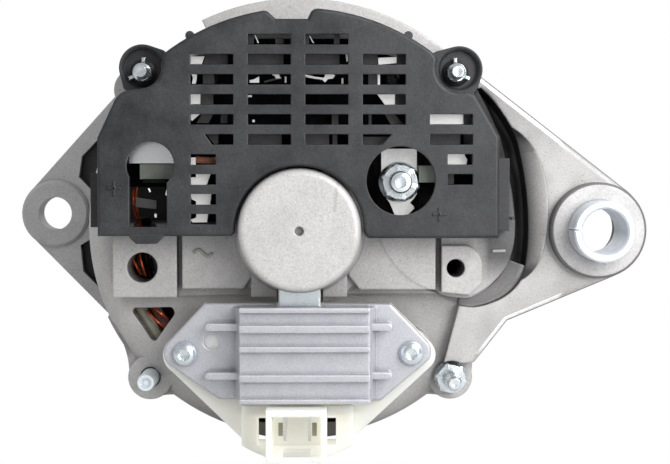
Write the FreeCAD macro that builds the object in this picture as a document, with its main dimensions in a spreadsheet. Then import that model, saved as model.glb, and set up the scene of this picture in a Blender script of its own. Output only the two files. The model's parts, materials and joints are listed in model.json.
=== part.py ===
import FreeCAD, Part
import math
import os
import Sketcher
from FreeCAD import Placement, Rotation, Vector

# A three-phase alternator seen from its rear, in millimetres.
# The rotor axis is Y. The belt runs in the plane Y = 0 and the rear faces -Y.
# Every depth below is a distance behind the belt plane, so depth 84 is Y = -84.
# X is to the right and Z is up for someone who looks at the rear.

os.makedirs("parts", exist_ok=True)
doc = FreeCAD.newDocument("Alternator")

DIMENSIONS = (
    ("body_radius", 60.0, "outside of both cast housings"),
    ("bolt_offset", 42.3, "through bolts from the axis, in X and in Z"),
    ("bolt_radius", 2.5, "M5 shank of a through bolt"),
    ("ear_radius", 6.3, "cast ear round a through bolt"),
    ("pivot_x", 82.4, "pivot lug from the axis"),
    ("pivot_z", -0.6, "pivot lug height"),
    ("pivot_bore", 8.4, "radius of the lug bore and of the split bush"),
    ("bush_bore", 6.2, "radius for an M12 pivot bolt"),
    ("bush_front", 102.0, "depth of the hidden end of the bush"),
    ("bush_rear", 122.0, "depth of the proud end of the bush"),
    ("adjuster_x", -77.9, "adjusting lug from the axis"),
    ("adjuster_z", 2.5, "adjusting lug height"),
    ("adjuster_bore", 5.2, "radius for an M10 adjusting bolt"),
    ("adjuster_lug", 10.6, "radius of the adjusting lug"),
    ("adjuster_front", 40.0, "front face of the adjusting lug"),
    ("adjuster_rear", 48.0, "rear face of the adjusting lug"),
    ("stator_radius", 57.0, "outside of the lamination stack"),
    ("stator_bore", 43.0, "inside of the lamination stack"),
    ("stator_front", 58.0, "front face of the stack"),
    ("stator_rear", 84.0, "rear face of the stack"),
    ("slot_count", 36.0, "stator slots"),
    ("rotor_radius", 42.6, "outside of the claws"),
    ("rotor_front", 48.0, "front face of the claw poles"),
    ("rotor_rear", 94.0, "rear face of the claw poles"),
    ("pole_plate", 10.0, "thickness of a claw pole's disc"),
    ("pole_core", 22.0, "radius of the iron core inside the coil"),
    ("shaft_front", -25.0, "threaded end of the shaft"),
    ("shaft_rear", 126.0, "slip ring end of the shaft"),
    ("shaft_thread", 7.9, "radius of the M16 thread"),
    ("shaft_seat", 8.5, "radius at the pulley and the front bearing"),
    ("shaft_core", 10.0, "radius inside the poles"),
    ("shaft_tail", 7.5, "radius at the rear bearing"),
    ("ring_seat", 6.5, "radius of the shaft inside the slip rings"),
    ("front_bearing_radius", 23.5, "17 x 47 x 14 ball bearing"),
    ("front_bearing_front", 31.0, "front face of that bearing"),
    ("front_bearing_rear", 45.0, "rear face of that bearing"),
    ("rear_bearing_radius", 17.5, "15 x 35 x 11 ball bearing"),
    ("rear_bearing_front", 97.0, "front face of that bearing"),
    ("rear_bearing_rear", 108.0, "rear face of that bearing"),
    ("slip_radius", 11.0, "outside of the slip rings"),
    ("slip_width", 5.0, "width of a slip ring"),
    ("slip_inner", 114.0, "middle of the inner slip ring"),
    ("slip_outer", 121.5, "middle of the outer slip ring"),
    ("pulley_radius", 35.0, "outside of the V pulley"),
    ("pulley_half", 10.0, "half the width of the pulley"),
    ("fan_radius", 61.0, "reach of the fan blades"),
    ("fan_disc", 12.0, "front face of the fan disc"),
    ("fan_sheet", 2.0, "sheet of the fan"),
    ("front_face", 28.0, "front face of the front housing"),
    ("front_rim", 62.0, "rear rim of the front housing"),
    ("rear_rim", 80.0, "front rim of the rear housing"),
    ("floor_inside", 99.0, "inner face of the rear housing's floor"),
    ("floor_outside", 103.0, "outer face of the rear housing's floor"),
    ("cap_base", 18.4, "radius of the slip ring cap where it rises"),
    ("cap_tip", 15.9, "radius of the cap at its face"),
    ("cap_face", 133.0, "depth of the cap's face"),
    ("chamber_radius", 13.3, "inside of the slip ring cap"),
    ("pad_face", 114.0, "machined pads on the rear"),
    ("arm_face", 108.0, "rear face of the pivot arm"),
    ("lug_face", 112.3, "machined face of the pivot lug"),
    ("cover_face", 130.0, "depth of the cover's face"),
    ("cover_sheet", 2.0, "wall of the cover"),
    ("cover_rim", 115.0, "front edge of the cover's skirt"),
    ("ear_floor", 116.0, "seat of the cover's ears"),
    ("slot_length", 11.3, "vent slot"),
    ("slot_height", 2.8, "vent slot"),
    ("slot_pitch_x", 15.1, "from one slot to the next"),
    ("slot_pitch_z", 5.25, "from one row to the next"),
    ("regulator_half", 30.3, "regulator screws from the middle"),
    ("regulator_z", -33.3, "height of the regulator screws"),
    ("regulator_seat", 112.0, "bosses under the brush holder"),
    ("holder_face", 118.0, "rear face of the brush holder plate"),
    ("flange_face", 122.0, "rear face of the regulator's flange"),
    ("block_face", 130.0, "rear face of the regulator's block"),
    ("rib_face", 132.0, "crest of the regulator's ribs"),
    ("brush_side", 5.0, "square section of a brush"),
    ("stud_radius", 3.0, "M6 output stud"),
    ("stud_x", 26.9, "output stud from the axis"),
    ("stud_z", 12.8, "output stud height"),
)

sheet = doc.addObject("Spreadsheet::Sheet", "Dimensions")
for row, (alias, number, meaning) in enumerate(DIMENSIONS, start=1):
    sheet.set("A%d" % row, alias)
    sheet.set("B%d" % row, str(number))
    sheet.set("C%d" % row, meaning)
    sheet.setAlias("B%d" % row, alias)
doc.recompute()


def value_of(size):
    """The number in a size, which may be a plain number."""
    return size.value if isinstance(size, Size) else float(size)


def text_of(size):
    """The expression of a size, which may be a plain number."""
    return size.text if isinstance(size, Size) else "(%r)" % float(size)


class Size:
    """A length with the spreadsheet expression that it came from."""

    def __init__(self, value, text):
        self.value = value
        self.text = text

    def __add__(self, other):
        return Size(self.value + value_of(other), "(%s + %s)" % (self.text, text_of(other)))

    def __radd__(self, other):
        return Size(value_of(other) + self.value, "(%s + %s)" % (text_of(other), self.text))

    def __sub__(self, other):
        return Size(self.value - value_of(other), "(%s - %s)" % (self.text, text_of(other)))

    def __rsub__(self, other):
        return Size(value_of(other) - self.value, "(%s - %s)" % (text_of(other), self.text))

    def __mul__(self, factor):
        return Size(self.value * value_of(factor), "(%s * %s)" % (self.text, text_of(factor)))

    __rmul__ = __mul__

    def __truediv__(self, divisor):
        return Size(self.value / value_of(divisor), "(%s / %s)" % (self.text, text_of(divisor)))

    def __neg__(self):
        return Size(-self.value, "(0 - %s)" % self.text)


class Cells:
    """Gives each alias of the sheet as a Size."""

    def __getattr__(self, alias):
        return Size(float(sheet.get(alias)), "Dimensions." + alias)


D = Cells()


def bind(thing, property_path, size):
    """Set one size of an object and tie it to the sheet."""
    if "." not in property_path:
        setattr(thing, property_path, value_of(size))
    if isinstance(size, Size):
        thing.setExpression(property_path, size.text)


def new_body(name):
    """A part design body for one piece."""
    piece = doc.addObject("PartDesign::Body", name)
    piece.Label = name
    return piece


class Profile:
    """A sketch on one of its body's own planes, with every point tied to the sheet."""

    def __init__(self, piece, role, depth=0.0):
        self.sketch = piece.newObject("Sketcher::SketchObject", piece.Name + "_sketch")
        plane = next(f for f in piece.Origin.OriginFeatures if f.Role == role)
        self.sketch.AttachmentSupport = [(plane, "")]
        self.sketch.MapMode = "FlatFace"
        self.sketch.AttachmentOffset = Placement(Vector(0, 0, value_of(depth)), Rotation())
        if isinstance(depth, Size):
            self.sketch.setExpression("AttachmentOffset.Base.z", depth.text)
        self.geometry = []
        self.rules = []
        self.ties = []

    def rule(self, kind, *numbers, size=None):
        """Add one constraint, with the size that drives it."""
        if isinstance(size, Size):
            self.ties.append((len(self.rules), size.text))
        if size is not None:
            numbers = numbers + (value_of(size),)
        self.rules.append(Sketcher.Constraint(kind, *numbers))

    def pin(self, index, end, across, up):
        """Hold one point at its distances from the middle of the sketch."""
        if value_of(across) == 0.0:
            self.rule("PointOnObject", index, end, -2)
        else:
            self.rule("DistanceX", -1, 1, index, end, size=across)
        if value_of(up) == 0.0:
            self.rule("PointOnObject", index, end, -1)
        else:
            self.rule("DistanceY", -1, 1, index, end, size=up)

    def circle(self, across, up, radius):
        """A circle by its centre and radius."""
        centre = Vector(value_of(across), value_of(up), 0)
        index = len(self.geometry)
        self.geometry.append(Part.Circle(centre, Vector(0, 0, 1), value_of(radius)))
        self.pin(index, 3, across, up)
        self.rule("Radius", index, size=radius)
        return self

    def arc(self, first, last, bulge):
        """An arc from first to last; a positive bulge radius turns to the left."""
        start = Vector(value_of(first[0]), value_of(first[1]), 0)
        end = Vector(value_of(last[0]), value_of(last[1]), 0)
        radius = abs(value_of(bulge))
        chord = end - start
        rise = math.sqrt(max(radius ** 2 - (chord.Length / 2) ** 2, 0.0))
        left = Vector(-chord.y, chord.x, 0).normalize()
        turns_left = value_of(bulge) > 0
        centre = (start + end) / 2 + left * (rise if turns_left else -rise)
        if not turns_left:
            start, end = end, start
        angles = [math.atan2(point.y - centre.y, point.x - centre.x) for point in (start, end)]
        circle = Part.Circle(centre, Vector(0, 0, 1), radius)
        index = len(self.geometry)
        self.geometry.append(Part.ArcOfCircle(circle, angles[0], angles[1]))
        self.rule("Radius", index, size=bulge if turns_left else -bulge)
        return (1, 2) if turns_left else (2, 1)

    def loop(self, points):
        """A closed outline. A point is (x, y) or, at the end of an arc, (x, y, bulge)."""
        first_index = len(self.geometry)
        ends = []
        for place, point in enumerate(points):
            onward = points[(place + 1) % len(points)]
            if len(onward) == 3:
                ends.append(self.arc(point, onward, onward[2]))
            else:
                start = Vector(value_of(point[0]), value_of(point[1]), 0)
                end = Vector(value_of(onward[0]), value_of(onward[1]), 0)
                self.geometry.append(Part.LineSegment(start, end))
                ends.append((1, 2))
        for place, point in enumerate(points):
            index = first_index + place
            before = (place - 1) % len(points)
            self.rule("Coincident", first_index + before, ends[before][1], index, ends[place][0])
            self.pin(index, ends[place][0], point[0], point[1])
        return self

    def block(self, left, right, low, high):
        """A rectangle by its four sides."""
        return self.loop([(left, low), (right, low), (right, high), (left, high)])

    def close(self):
        """Hand the collected geometry and rules to the sketch."""
        self.sketch.addGeometry(self.geometry, False)
        self.sketch.addConstraint(self.rules)
        for index, text in self.ties:
            self.sketch.setExpression("Constraints[%d]" % index, text)
        return self.sketch


def rear_profile(piece, depth):
    """A sketch seen from the rear, at a depth."""
    return Profile(piece, "XZ_Plane", depth)


def pad(piece, profile, thickness):
    """Grow a profile towards the rear."""
    feature = piece.newObject("PartDesign::Pad", piece.Name + "_pad")
    feature.Profile = profile.close()
    bind(feature, "Length", thickness)
    return feature


def pad_forward(piece, profile, thickness):
    """Grow a profile towards the front."""
    feature = pad(piece, profile, thickness)
    feature.Reversed = True
    return feature


def pocket(piece, profile, depth, backwards=False):
    """Cut a profile away towards the front, or towards the rear."""
    feature = piece.newObject("PartDesign::Pocket", piece.Name + "_pocket")
    feature.Profile = profile.close()
    feature.Reversed = backwards
    bind(feature, "Length", depth)
    return feature


def scoop(piece, near, far):
    """Cut away what lies between two profiles of the same count of sides."""
    feature = piece.newObject("PartDesign::SubtractiveLoft", piece.Name + "_scoop")
    feature.Profile = near.close()
    feature.Sections = [(far.close(), [""])]
    feature.Ruled = True
    return feature


def turn(piece, outline, kind="PartDesign::Revolution"):
    """Revolve an outline of (radius, depth) points about the rotor axis."""
    profile = Profile(piece, "XY_Plane")
    profile.loop([(point[0], -point[1]) + tuple(point[2:]) for point in outline])
    feature = piece.newObject(kind, piece.Name + "_turn")
    feature.Profile = profile.close()
    feature.ReferenceAxis = (feature.Profile[0], ["V_Axis"])
    feature.Angle = 360.0
    return feature


def groove(piece, outline):
    """Turn an outline of (radius, depth) points out of a piece."""
    return turn(piece, outline, "PartDesign::Groove")


def turned(name, outline):
    """A piece that is one revolved outline."""
    piece = new_body(name)
    turn(piece, outline)
    return piece


def tube(name, inner, outer, front, rear):
    """A plain ring about the rotor axis."""
    return turned(name, [(inner, front), (outer, front), (outer, rear), (inner, rear)])


def around(piece, feature, count):
    """Repeat a feature about the rotor axis."""
    pattern = piece.newObject("PartDesign::PolarPattern", piece.Name + "_pattern")
    pattern.Originals = [feature]
    axis = next(f for f in piece.Origin.OriginFeatures if f.Role == "Y_Axis")
    pattern.Axis = (axis, [""])
    pattern.Angle = 360.0
    pattern.Occurrences = int(value_of(count))
    if isinstance(count, Size):
        pattern.setExpression("Occurrences", count.text)
    piece.Tip = pattern
    return pattern


def soften(piece, radius, chosen, kind="PartDesign::Fillet"):
    """Round or bevel the edges of a piece's last feature that a test picks out."""
    doc.recompute()
    base = piece.Tip
    edges = [
        "Edge%d" % number
        for number, edge in enumerate(base.Shape.Edges, start=1)
        if chosen(edge)
    ]
    feature = piece.newObject(kind, piece.Name + "_edge")
    feature.Base = (base, edges)
    bind(feature, "Radius" if kind.endswith("Fillet") else "Size", radius)
    return feature


def lies_at(depth, tolerance=0.05):
    """A test for edges that lie in one plane across the axis."""
    level = -value_of(depth)
    return lambda edge: abs(edge.BoundBox.YMin - level) < tolerance and edge.BoundBox.YLength < tolerance


def rod(name, radius, front, rear, across=0.0, up=0.0):
    """A cylinder along the rotor axis direction."""
    thing = doc.addObject("Part::Cylinder", name)
    bind(thing, "Radius", radius)
    bind(thing, "Height", rear - front)
    thing.Placement = Placement(
        Vector(value_of(across), -value_of(front), value_of(up)), Rotation(Vector(1, 0, 0), 90)
    )
    for axis, size in (("x", across), ("y", -front), ("z", up)):
        bind(thing, "Placement.Base." + axis, size)
    return thing


def post(name, radius, low, high, across, depth):
    """An upright cylinder."""
    thing = doc.addObject("Part::Cylinder", name)
    bind(thing, "Radius", radius)
    bind(thing, "Height", high - low)
    thing.Placement.Base = Vector(value_of(across), -value_of(depth), value_of(low))
    bind(thing, "Placement.Base.y", -depth)
    return thing


def brick(name, left, right, front, rear, low, high):
    """A box by its six sides."""
    thing = doc.addObject("Part::Box", name)
    bind(thing, "Length", right - left)
    bind(thing, "Width", rear - front)
    bind(thing, "Height", high - low)
    thing.Placement.Base = Vector(value_of(left), -value_of(rear), value_of(low))
    for axis, size in (("x", left), ("y", -rear), ("z", low)):
        bind(thing, "Placement.Base." + axis, size)
    return thing


def hexagon(name, across_flats, front, rear, across=0.0, up=0.0):
    """A hexagonal prism along the rotor axis direction."""
    thing = doc.addObject("Part::Prism", name)
    thing.Polygon = 6
    bind(thing, "Circumradius", across_flats / math.sqrt(3))
    bind(thing, "Height", rear - front)
    thing.Placement = Placement(
        Vector(value_of(across), -value_of(front), value_of(up)), Rotation(Vector(1, 0, 0), 90)
    )
    for axis, size in (("x", across), ("y", -front), ("z", up)):
        bind(thing, "Placement.Base." + axis, size)
    return thing


def united(name, things):
    """One solid from several that meet."""
    thing = doc.addObject("Part::MultiFuse", name)
    thing.Shapes = things
    thing.Refine = True
    return thing


def carved(name, whole, tool):
    """One solid less another."""
    thing = doc.addObject("Part::Cut", name)
    thing.Base = whole
    thing.Tool = tool
    thing.Refine = True
    return thing


def gathered(name, things):
    """Separate solids that share one name."""
    thing = doc.addObject("Part::Compound", name)
    thing.Links = things
    return thing


pieces = []


def keep(name, thing):
    """Name a finished piece."""
    thing.Label = name
    pieces.append(thing)
    return thing


# Shaft, poles and coil

def build_shaft():
    """The stepped shaft, from its M16 end to the slip rings."""
    key_end = 10.0
    keep("rotor_shaft", turned("rotor_shaft", [
        (0, D.shaft_front),
        (D.shaft_thread - 1, D.shaft_front),
        (D.shaft_thread, D.shaft_front + 1),
        (D.shaft_thread, -key_end),
        (D.shaft_seat, -key_end),
        (D.shaft_seat, D.rotor_front),
        (D.shaft_core, D.rotor_front),
        (D.shaft_core, D.rotor_rear),
        (D.shaft_tail, D.rotor_rear),
        (D.shaft_tail, D.rear_bearing_rear + 1),
        (D.ring_seat, D.rear_bearing_rear + 1),
        (D.ring_seat, D.shaft_rear - 0.8),
        (D.ring_seat - 0.8, D.shaft_rear),
        (0, D.shaft_rear),
    ]))


def claw_pole(name, plate_side, plate_rise, finger_tip):
    """A disc with six claws that taper in width and in thickness towards their tips.

    plate_side is the disc's outer face, plate_rise the signed thickness inwards,
    and finger_tip the depth where the claws end.
    """
    claws = 6
    piece = new_body(name)
    inner_face = plate_side + plate_rise
    web_radius = 30.0
    turn(piece, [
        (D.shaft_core, plate_side),
        (web_radius, plate_side),
        (web_radius, inner_face),
        (D.pole_core, inner_face),
        (D.pole_core, D.rotor_front / 2 + D.rotor_rear / 2),
        (D.shaft_core, D.rotor_front / 2 + D.rotor_rear / 2),
    ])

    def sector(depth, half_width, inner):
        """One cross-section of a claw, at the top of the rotor."""
        outer = D.rotor_radius
        outer_rise = math.sqrt(outer.value ** 2 - half_width ** 2)
        profile = rear_profile(piece, depth)
        profile.loop([
            (-half_width, inner),
            (half_width, inner),
            (half_width, outer_rise),
            (-half_width, outer_rise, outer),
        ])
        return profile.close()

    root = piece.newObject("PartDesign::AdditiveLoft", name + "_root")
    root.Profile = sector(plate_side, 9.6, 24.0)
    root.Sections = [sector(inner_face, 9.0, 26.0)]
    root.Ruled = True
    around(piece, root, claws)
    finger = piece.newObject("PartDesign::AdditiveLoft", name + "_finger")
    finger.Profile = sector(inner_face, 9.0, 34.0)
    finger.Sections = [sector(finger_tip, 3.6, 39.6)]
    finger.Ruled = True
    around(piece, finger, claws)
    return piece


def build_rotor():
    """Everything that turns with the shaft inside the housings."""
    build_shaft()
    thickness = D.pole_plate
    keep("claw_pole_front", claw_pole("claw_pole_front", D.rotor_front, thickness, D.rotor_rear - 3))
    rear_pole = claw_pole("claw_pole_rear", D.rotor_rear, -thickness, D.rotor_front + 3)
    rear_pole.Placement.Rotation = Rotation(Vector(0, 1, 0), 30)
    keep("claw_pole_rear", rear_pole)
    coil_front = D.rotor_front + thickness
    coil_rear = D.rotor_rear - thickness
    cheek = 1.2
    keep("coil_bobbin", turned("coil_bobbin", [
        (D.pole_core, coil_front),
        (33.0, coil_front),
        (33.0, coil_front + cheek),
        (D.pole_core + cheek, coil_front + cheek),
        (D.pole_core + cheek, coil_rear - cheek),
        (33.0, coil_rear - cheek),
        (33.0, coil_rear),
        (D.pole_core, coil_rear),
    ]))
    keep("field_coil", tube(
        "field_coil", D.pole_core + cheek, 32.5, coil_front + cheek, coil_rear - cheek))
    keep("slip_ring_hub", turned("slip_ring_hub", [
        (D.ring_seat, D.rear_bearing_rear + 1.2),
        (10.4, D.rear_bearing_rear + 1.2),
        (10.4, D.slip_inner - D.slip_width / 2),
        (9.0, D.slip_inner - D.slip_width / 2),
        (9.0, D.slip_inner + D.slip_width / 2),
        (10.4, D.slip_inner + D.slip_width / 2),
        (10.4, D.slip_outer - D.slip_width / 2),
        (9.0, D.slip_outer - D.slip_width / 2),
        (9.0, D.slip_outer + D.slip_width / 2),
        (D.ring_seat, D.slip_outer + D.slip_width / 2),
    ]))
    for name, middle in (("slip_ring_inner", D.slip_inner), ("slip_ring_outer", D.slip_outer)):
        half = D.slip_width / 2
        keep(name, tube(name, 9.0, D.slip_radius, middle - half, middle + half))


# Bearings

def bearing(prefix, bore, inner_land, ball_circle, ball, outer_land, outside, front, rear, count):
    """A grooved ball bearing: two rings, and a set of balls in its cage."""
    middle = (front + rear) / 2
    race = ball + 0.3
    half_chord = 0.8 * race
    depth_in_race = 0.6 * race
    keep(prefix + "_inner", turned(prefix + "_inner", [
        (bore, front),
        (inner_land, front),
        (ball_circle - depth_in_race, middle - half_chord),
        (ball_circle - depth_in_race, middle + half_chord, race),
        (inner_land, rear),
        (bore, rear),
    ]))
    keep(prefix + "_outer", turned(prefix + "_outer", [
        (outer_land, front),
        (outside, front),
        (outside, rear),
        (outer_land, rear),
        (ball_circle + depth_in_race, middle + half_chord),
        (ball_circle + depth_in_race, middle - half_chord, race),
    ]))
    balls = []
    for number in range(count):
        angle = 2 * math.pi * number / count
        sphere = doc.addObject("Part::Sphere", "%s_ball%d" % (prefix, number))
        bind(sphere, "Radius", ball)
        sphere.Placement.Base = Vector(
            ball_circle * math.cos(angle), -value_of(middle), ball_circle * math.sin(angle))
        balls.append(sphere)
    keep(prefix + "_balls", gathered(prefix + "_balls", balls))


def build_bearings():
    """The two sealed bearings, the retainer and its screws."""
    bearing("front_bearing", D.shaft_seat, 12.6, 16.0, 4.2, 19.4,
            D.front_bearing_radius, D.front_bearing_front, D.front_bearing_rear, 8)
    bearing("rear_bearing", D.shaft_tail, 10.2, 12.5, 3.0, 14.8,
            D.rear_bearing_radius, D.rear_bearing_front, D.rear_bearing_rear, 9)


# Drive end: pulley, fan, nut

def build_drive_end():
    """Pulley, key, fan, spacer, washer and nut on the front of the shaft."""
    face = D.pulley_half
    outer = D.pulley_radius
    pulley = new_body("pulley")
    turn(pulley, [
        (D.shaft_seat, -face),
        (14.0, -face),
        (14.0, -face + 4),
        (outer - 7, -face + 4),
        (outer - 5, -face),
        (outer, -face),
        (outer, -6.2),
        (outer - 12.5, -1.8),
        (outer - 12.5, 1.8),
        (outer, 6.2),
        (outer, face),
        (outer - 5, face),
        (outer - 7, face - 4),
        (14.0, face - 4),
        (14.0, D.fan_disc),
        (D.shaft_seat, D.fan_disc),
    ])
    key_slot = rear_profile(pulley, D.fan_disc)
    key_slot.block(-2.0, 2.0, 4.0, D.shaft_seat + 1.6)
    pocket(pulley, key_slot, D.fan_disc + face)
    keep("pulley", pulley)
    keep("fan_spacer", tube("fan_spacer", D.shaft_seat, 12.4,
                            D.fan_disc + D.fan_sheet, D.front_bearing_front))
    keep("shaft_key", carved(
        "shaft_key",
        brick("key_bar", -2.0, 2.0, -face, D.fan_disc, 4.0, D.shaft_seat + 1.6),
        rod("key_seat", D.shaft_seat, -face - 1, D.fan_disc + 1),
    ))
    keep("spring_washer", tube("spring_washer", D.shaft_seat, 12.4, -face - 2.5, -face))
    nut = carved("pulley_nut_cut", hexagon("pulley_nut_hex", 24.0, D.shaft_front + 3, -face - 2.5),
                 rod("pulley_nut_bore", D.shaft_thread, D.shaft_front, -face))
    keep("pulley_nut", nut)


def build_fan():
    """A pressed disc whose twelve blades are bent towards the housing."""
    blades = 12
    fan = new_body("fan")
    disc_rear = D.fan_disc + D.fan_sheet
    turn(fan, [
        (D.shaft_seat, D.fan_disc),
        (40.0, D.fan_disc),
        (40.0, disc_rear),
        (D.shaft_seat, disc_rear),
    ])
    blade = rear_profile(fan, D.fan_disc)
    blade.loop([(-4.0, 37.0), (4.0, 37.0), (9.0, 47.0), (9.0, 59.0), (-1.0, D.fan_radius - 0.2),
                (-3.0, 47.0)])
    around(fan, pad(fan, blade, D.fan_sheet), blades)
    upright = rear_profile(fan, disc_rear - 0.5)
    upright.loop([(7.2, 44.5), (9.0, 44.5), (9.0, 59.0), (7.2, 59.3)])
    around(fan, pad(fan, upright, 10.5), blades)
    keep("fan", fan)


# Stator

def build_stator():
    """The slotted lamination stack and its windings."""
    stack = new_body("stator_core")
    turn(stack, [
        (D.stator_bore, D.stator_front),
        (D.stator_radius, D.stator_front),
        (D.stator_radius, D.stator_rear),
        (D.stator_bore, D.stator_rear),
    ])
    slot = rear_profile(stack, D.stator_rear)
    slot.block(-1.9, 1.9, D.stator_bore - 1, 52.0)
    around(stack, pocket(stack, slot, D.stator_rear - D.stator_front), D.slot_count)
    keep("stator_core", stack)
    crown = 9.0
    winding = new_body("stator_winding")
    ring = [(44.6, 0.4), (52.4, 0.4), (53.4, crown - 3), (51.4, crown), (46.6, crown), (45.0, crown - 3)]
    for face, direction in ((D.stator_rear, 1), (D.stator_front, -1)):
        turn(winding, [(radius, face + direction * rise) for radius, rise in ring])
    bar = rear_profile(winding, D.stator_rear + 1)
    bar.block(-1.6, 1.6, 44.8, 51.7)
    around(winding, pad_forward(winding, bar, D.stator_rear - D.stator_front + 2), D.slot_count)
    keep("stator_winding", winding)


# Cast housings

def spun(points, degrees):
    """Points turned about the rotor axis, towards +Z from +X."""
    angle = math.radians(degrees)
    return [
        (x * math.cos(angle) - z * math.sin(angle), x * math.sin(angle) + z * math.cos(angle)) + tuple(rest)
        for x, z, *rest in points
    ]


def bolt_places():
    """The four through bolts: top left, top right, bottom left, bottom right."""
    far = D.bolt_offset
    return [(-far, far), (far, far), (-far, -far), (far, -far)]


def sector_window(profile, inner, outer, first_degrees, last_degrees):
    """A window between two radii and two angles."""
    corners = []
    for radius, degrees in ((inner, first_degrees), (outer, first_degrees),
                            (outer, last_degrees), (inner, last_degrees)):
        angle = math.radians(degrees)
        corners.append([radius * math.cos(angle), radius * math.sin(angle)])
    corners[2].append(outer)
    corners[0].append(-inner)
    profile.loop([tuple(corner) for corner in corners])
    return profile


def build_front_housing():
    """The drive end casting, with its vents, bolt ears and adjusting arm."""
    piece = new_body("front_housing")
    outer = D.body_radius
    turn(piece, [
        (13.6, D.front_face),
        (27.5, D.front_face),
        (29.5, D.front_face + 5),
        (50.0, D.front_face + 7),
        (57.5, D.front_face + 11),
        (outer, D.front_face + 16, -6.0),
        (outer, D.front_rim),
        (D.stator_radius, D.front_rim),
        (D.stator_radius, D.stator_front),
        (outer - 4.5, D.stator_front),
        (outer - 4.5, D.front_face + 17),
        (51.5, D.front_face + 12),
        (28.5, D.front_face + 10.5),
        (28.5, D.front_bearing_rear),
        (D.front_bearing_radius, D.front_bearing_rear),
        (D.front_bearing_radius, D.front_bearing_front),
        (13.6, D.front_bearing_front),
    ])
    face_window = rear_profile(piece, D.front_face + 13)
    face_window.loop(spun([(-6.8, 32.5), (6.8, 32.5), (12.0, 48.0), (-12.0, 48.0, 49.5)], 22.5))
    around(piece, pocket(piece, face_window, 12), 8)
    side_window = Profile(piece, "XY_Plane", outer + 2)
    side_window.block(-6.5, 6.5, -(D.stator_front - 2), -(D.front_face + 17))
    around(piece, pocket(piece, side_window, 9), 12)

    lug_x, lug_z, lug = D.adjuster_x, D.adjuster_z, D.adjuster_lug
    arm = rear_profile(piece, D.adjuster_rear - 10)
    arm.loop([
        (-85.8, 9.6),
        (-85.45, -4.95, lug),
        (-60.9, -29.9),
        (-52.0, -26.0),
        (-56.5, 0.0),
        (-45.0, 34.0),
        (-39.0, 43.0),
        (-50.2, 49.3),
    ])
    pad(piece, arm, 8.5)
    upper = rear_profile(piece, D.adjuster_rear)
    upper.loop([(-69.6, 20.6), (-70.6, 14.0), (-66.8, 10.0), (-61.0, 10.0), (-55.6, 26.0), (-61.0, 29.5)])
    upper.loop([(-70.2, -7.6), (-66.5, -5.4), (-61.6, -5.4), (-59.0, -17.0), (-62.4, -23.0), (-69.4, -16.0)])
    pocket(piece, upper, 8.0)
    boss = rear_profile(piece, D.adjuster_front)
    boss.circle(lug_x, lug_z, lug)
    pad(piece, boss, D.adjuster_rear - D.adjuster_front)
    soften(piece, 0.8, lies_at(D.adjuster_rear), "PartDesign::Chamfer")
    foot = rear_profile(piece, D.adjuster_rear - 7)
    foot.loop([(-61.2, -30.2), (-54.6, -41.3, 68.4), (-52.4, -41.6, 1.4), (-47.0, -35.0), (-53.0, -25.6),
               (-60.3, -28.0)])
    pad(piece, foot, 9.0)
    ears = rear_profile(piece, D.front_rim - 16)
    for x, z in bolt_places():
        ears.circle(x, z, D.ear_radius)
    pad(piece, ears, 16)
    groove(piece, [
        (D.front_bearing_radius, D.front_bearing_rear),
        (28.5, D.front_bearing_rear),
        (28.5, D.front_face + 11),
        (51.5, D.front_face + 12.5),
        (outer - 4.5, D.front_face + 17.5),
        (outer - 4.5, D.stator_front),
        (D.stator_radius, D.stator_front),
        (D.stator_radius, D.front_rim + 1),
        (D.front_bearing_radius, D.front_rim + 1),
    ])
    holes = rear_profile(piece, D.front_rim + 1)
    for x, z in bolt_places():
        holes.circle(x, z, D.bolt_radius)
    holes.circle(lug_x, lug_z, D.adjuster_bore)
    pocket(piece, holes, 40)
    head_seats = rear_profile(piece, D.front_rim - 16)
    for x, z in bolt_places():
        head_seats.circle(x, z, 5.2)
    pocket(piece, head_seats, 12)
    screw_holes = rear_profile(piece, D.front_bearing_rear + 1)
    for x, z in RETAINER_PLACES:
        screw_holes.circle(x, z, 1.6)
    pocket(piece, screw_holes, 9)
    keep("front_housing", piece)


RETAINER_PLACES = spun([(26.1, 0.0), (0.0, 26.1), (-26.1, 0.0), (0.0, -26.1)], 45)


def build_bearing_retainer():
    """The plate that keeps the front bearing in, and its screws."""
    plate = new_body("bearing_retainer")
    sheet_metal = 1.2
    ring = rear_profile(plate, D.front_bearing_rear)
    ring.circle(0, 0, 28.3)
    ring.circle(0, 0, 15.5)
    pad(plate, ring, sheet_metal)
    holes = rear_profile(plate, D.front_bearing_rear + sheet_metal)
    for x, z in RETAINER_PLACES:
        holes.circle(x, z, 1.6)
    pocket(plate, holes, sheet_metal)
    keep("bearing_retainer", plate)
    screws = []
    face = D.front_bearing_rear + sheet_metal
    for number, (x, z) in enumerate(RETAINER_PLACES):
        shank = rod("retainer_shank%d" % number, 1.6, face - 9, face, x, z)
        head = rod("retainer_head%d" % number, 2.0, face, face + 1.2, x, z)
        screws.append(united("retainer_screw%d" % number, [shank, head]))
    keep("retainer_screws", gathered("retainer_screws", screws))


BULGE_RADIUS = 64.3
TRIANGLE = [
    (-46.4, -22.6, -1.0), (-36.5, -22.4), (-35.7, -25.0, -1.7), (-40.4, -31.6), (-42.0, -31.4, -1.0),
    (-47.0, -24.0),
]


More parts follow.
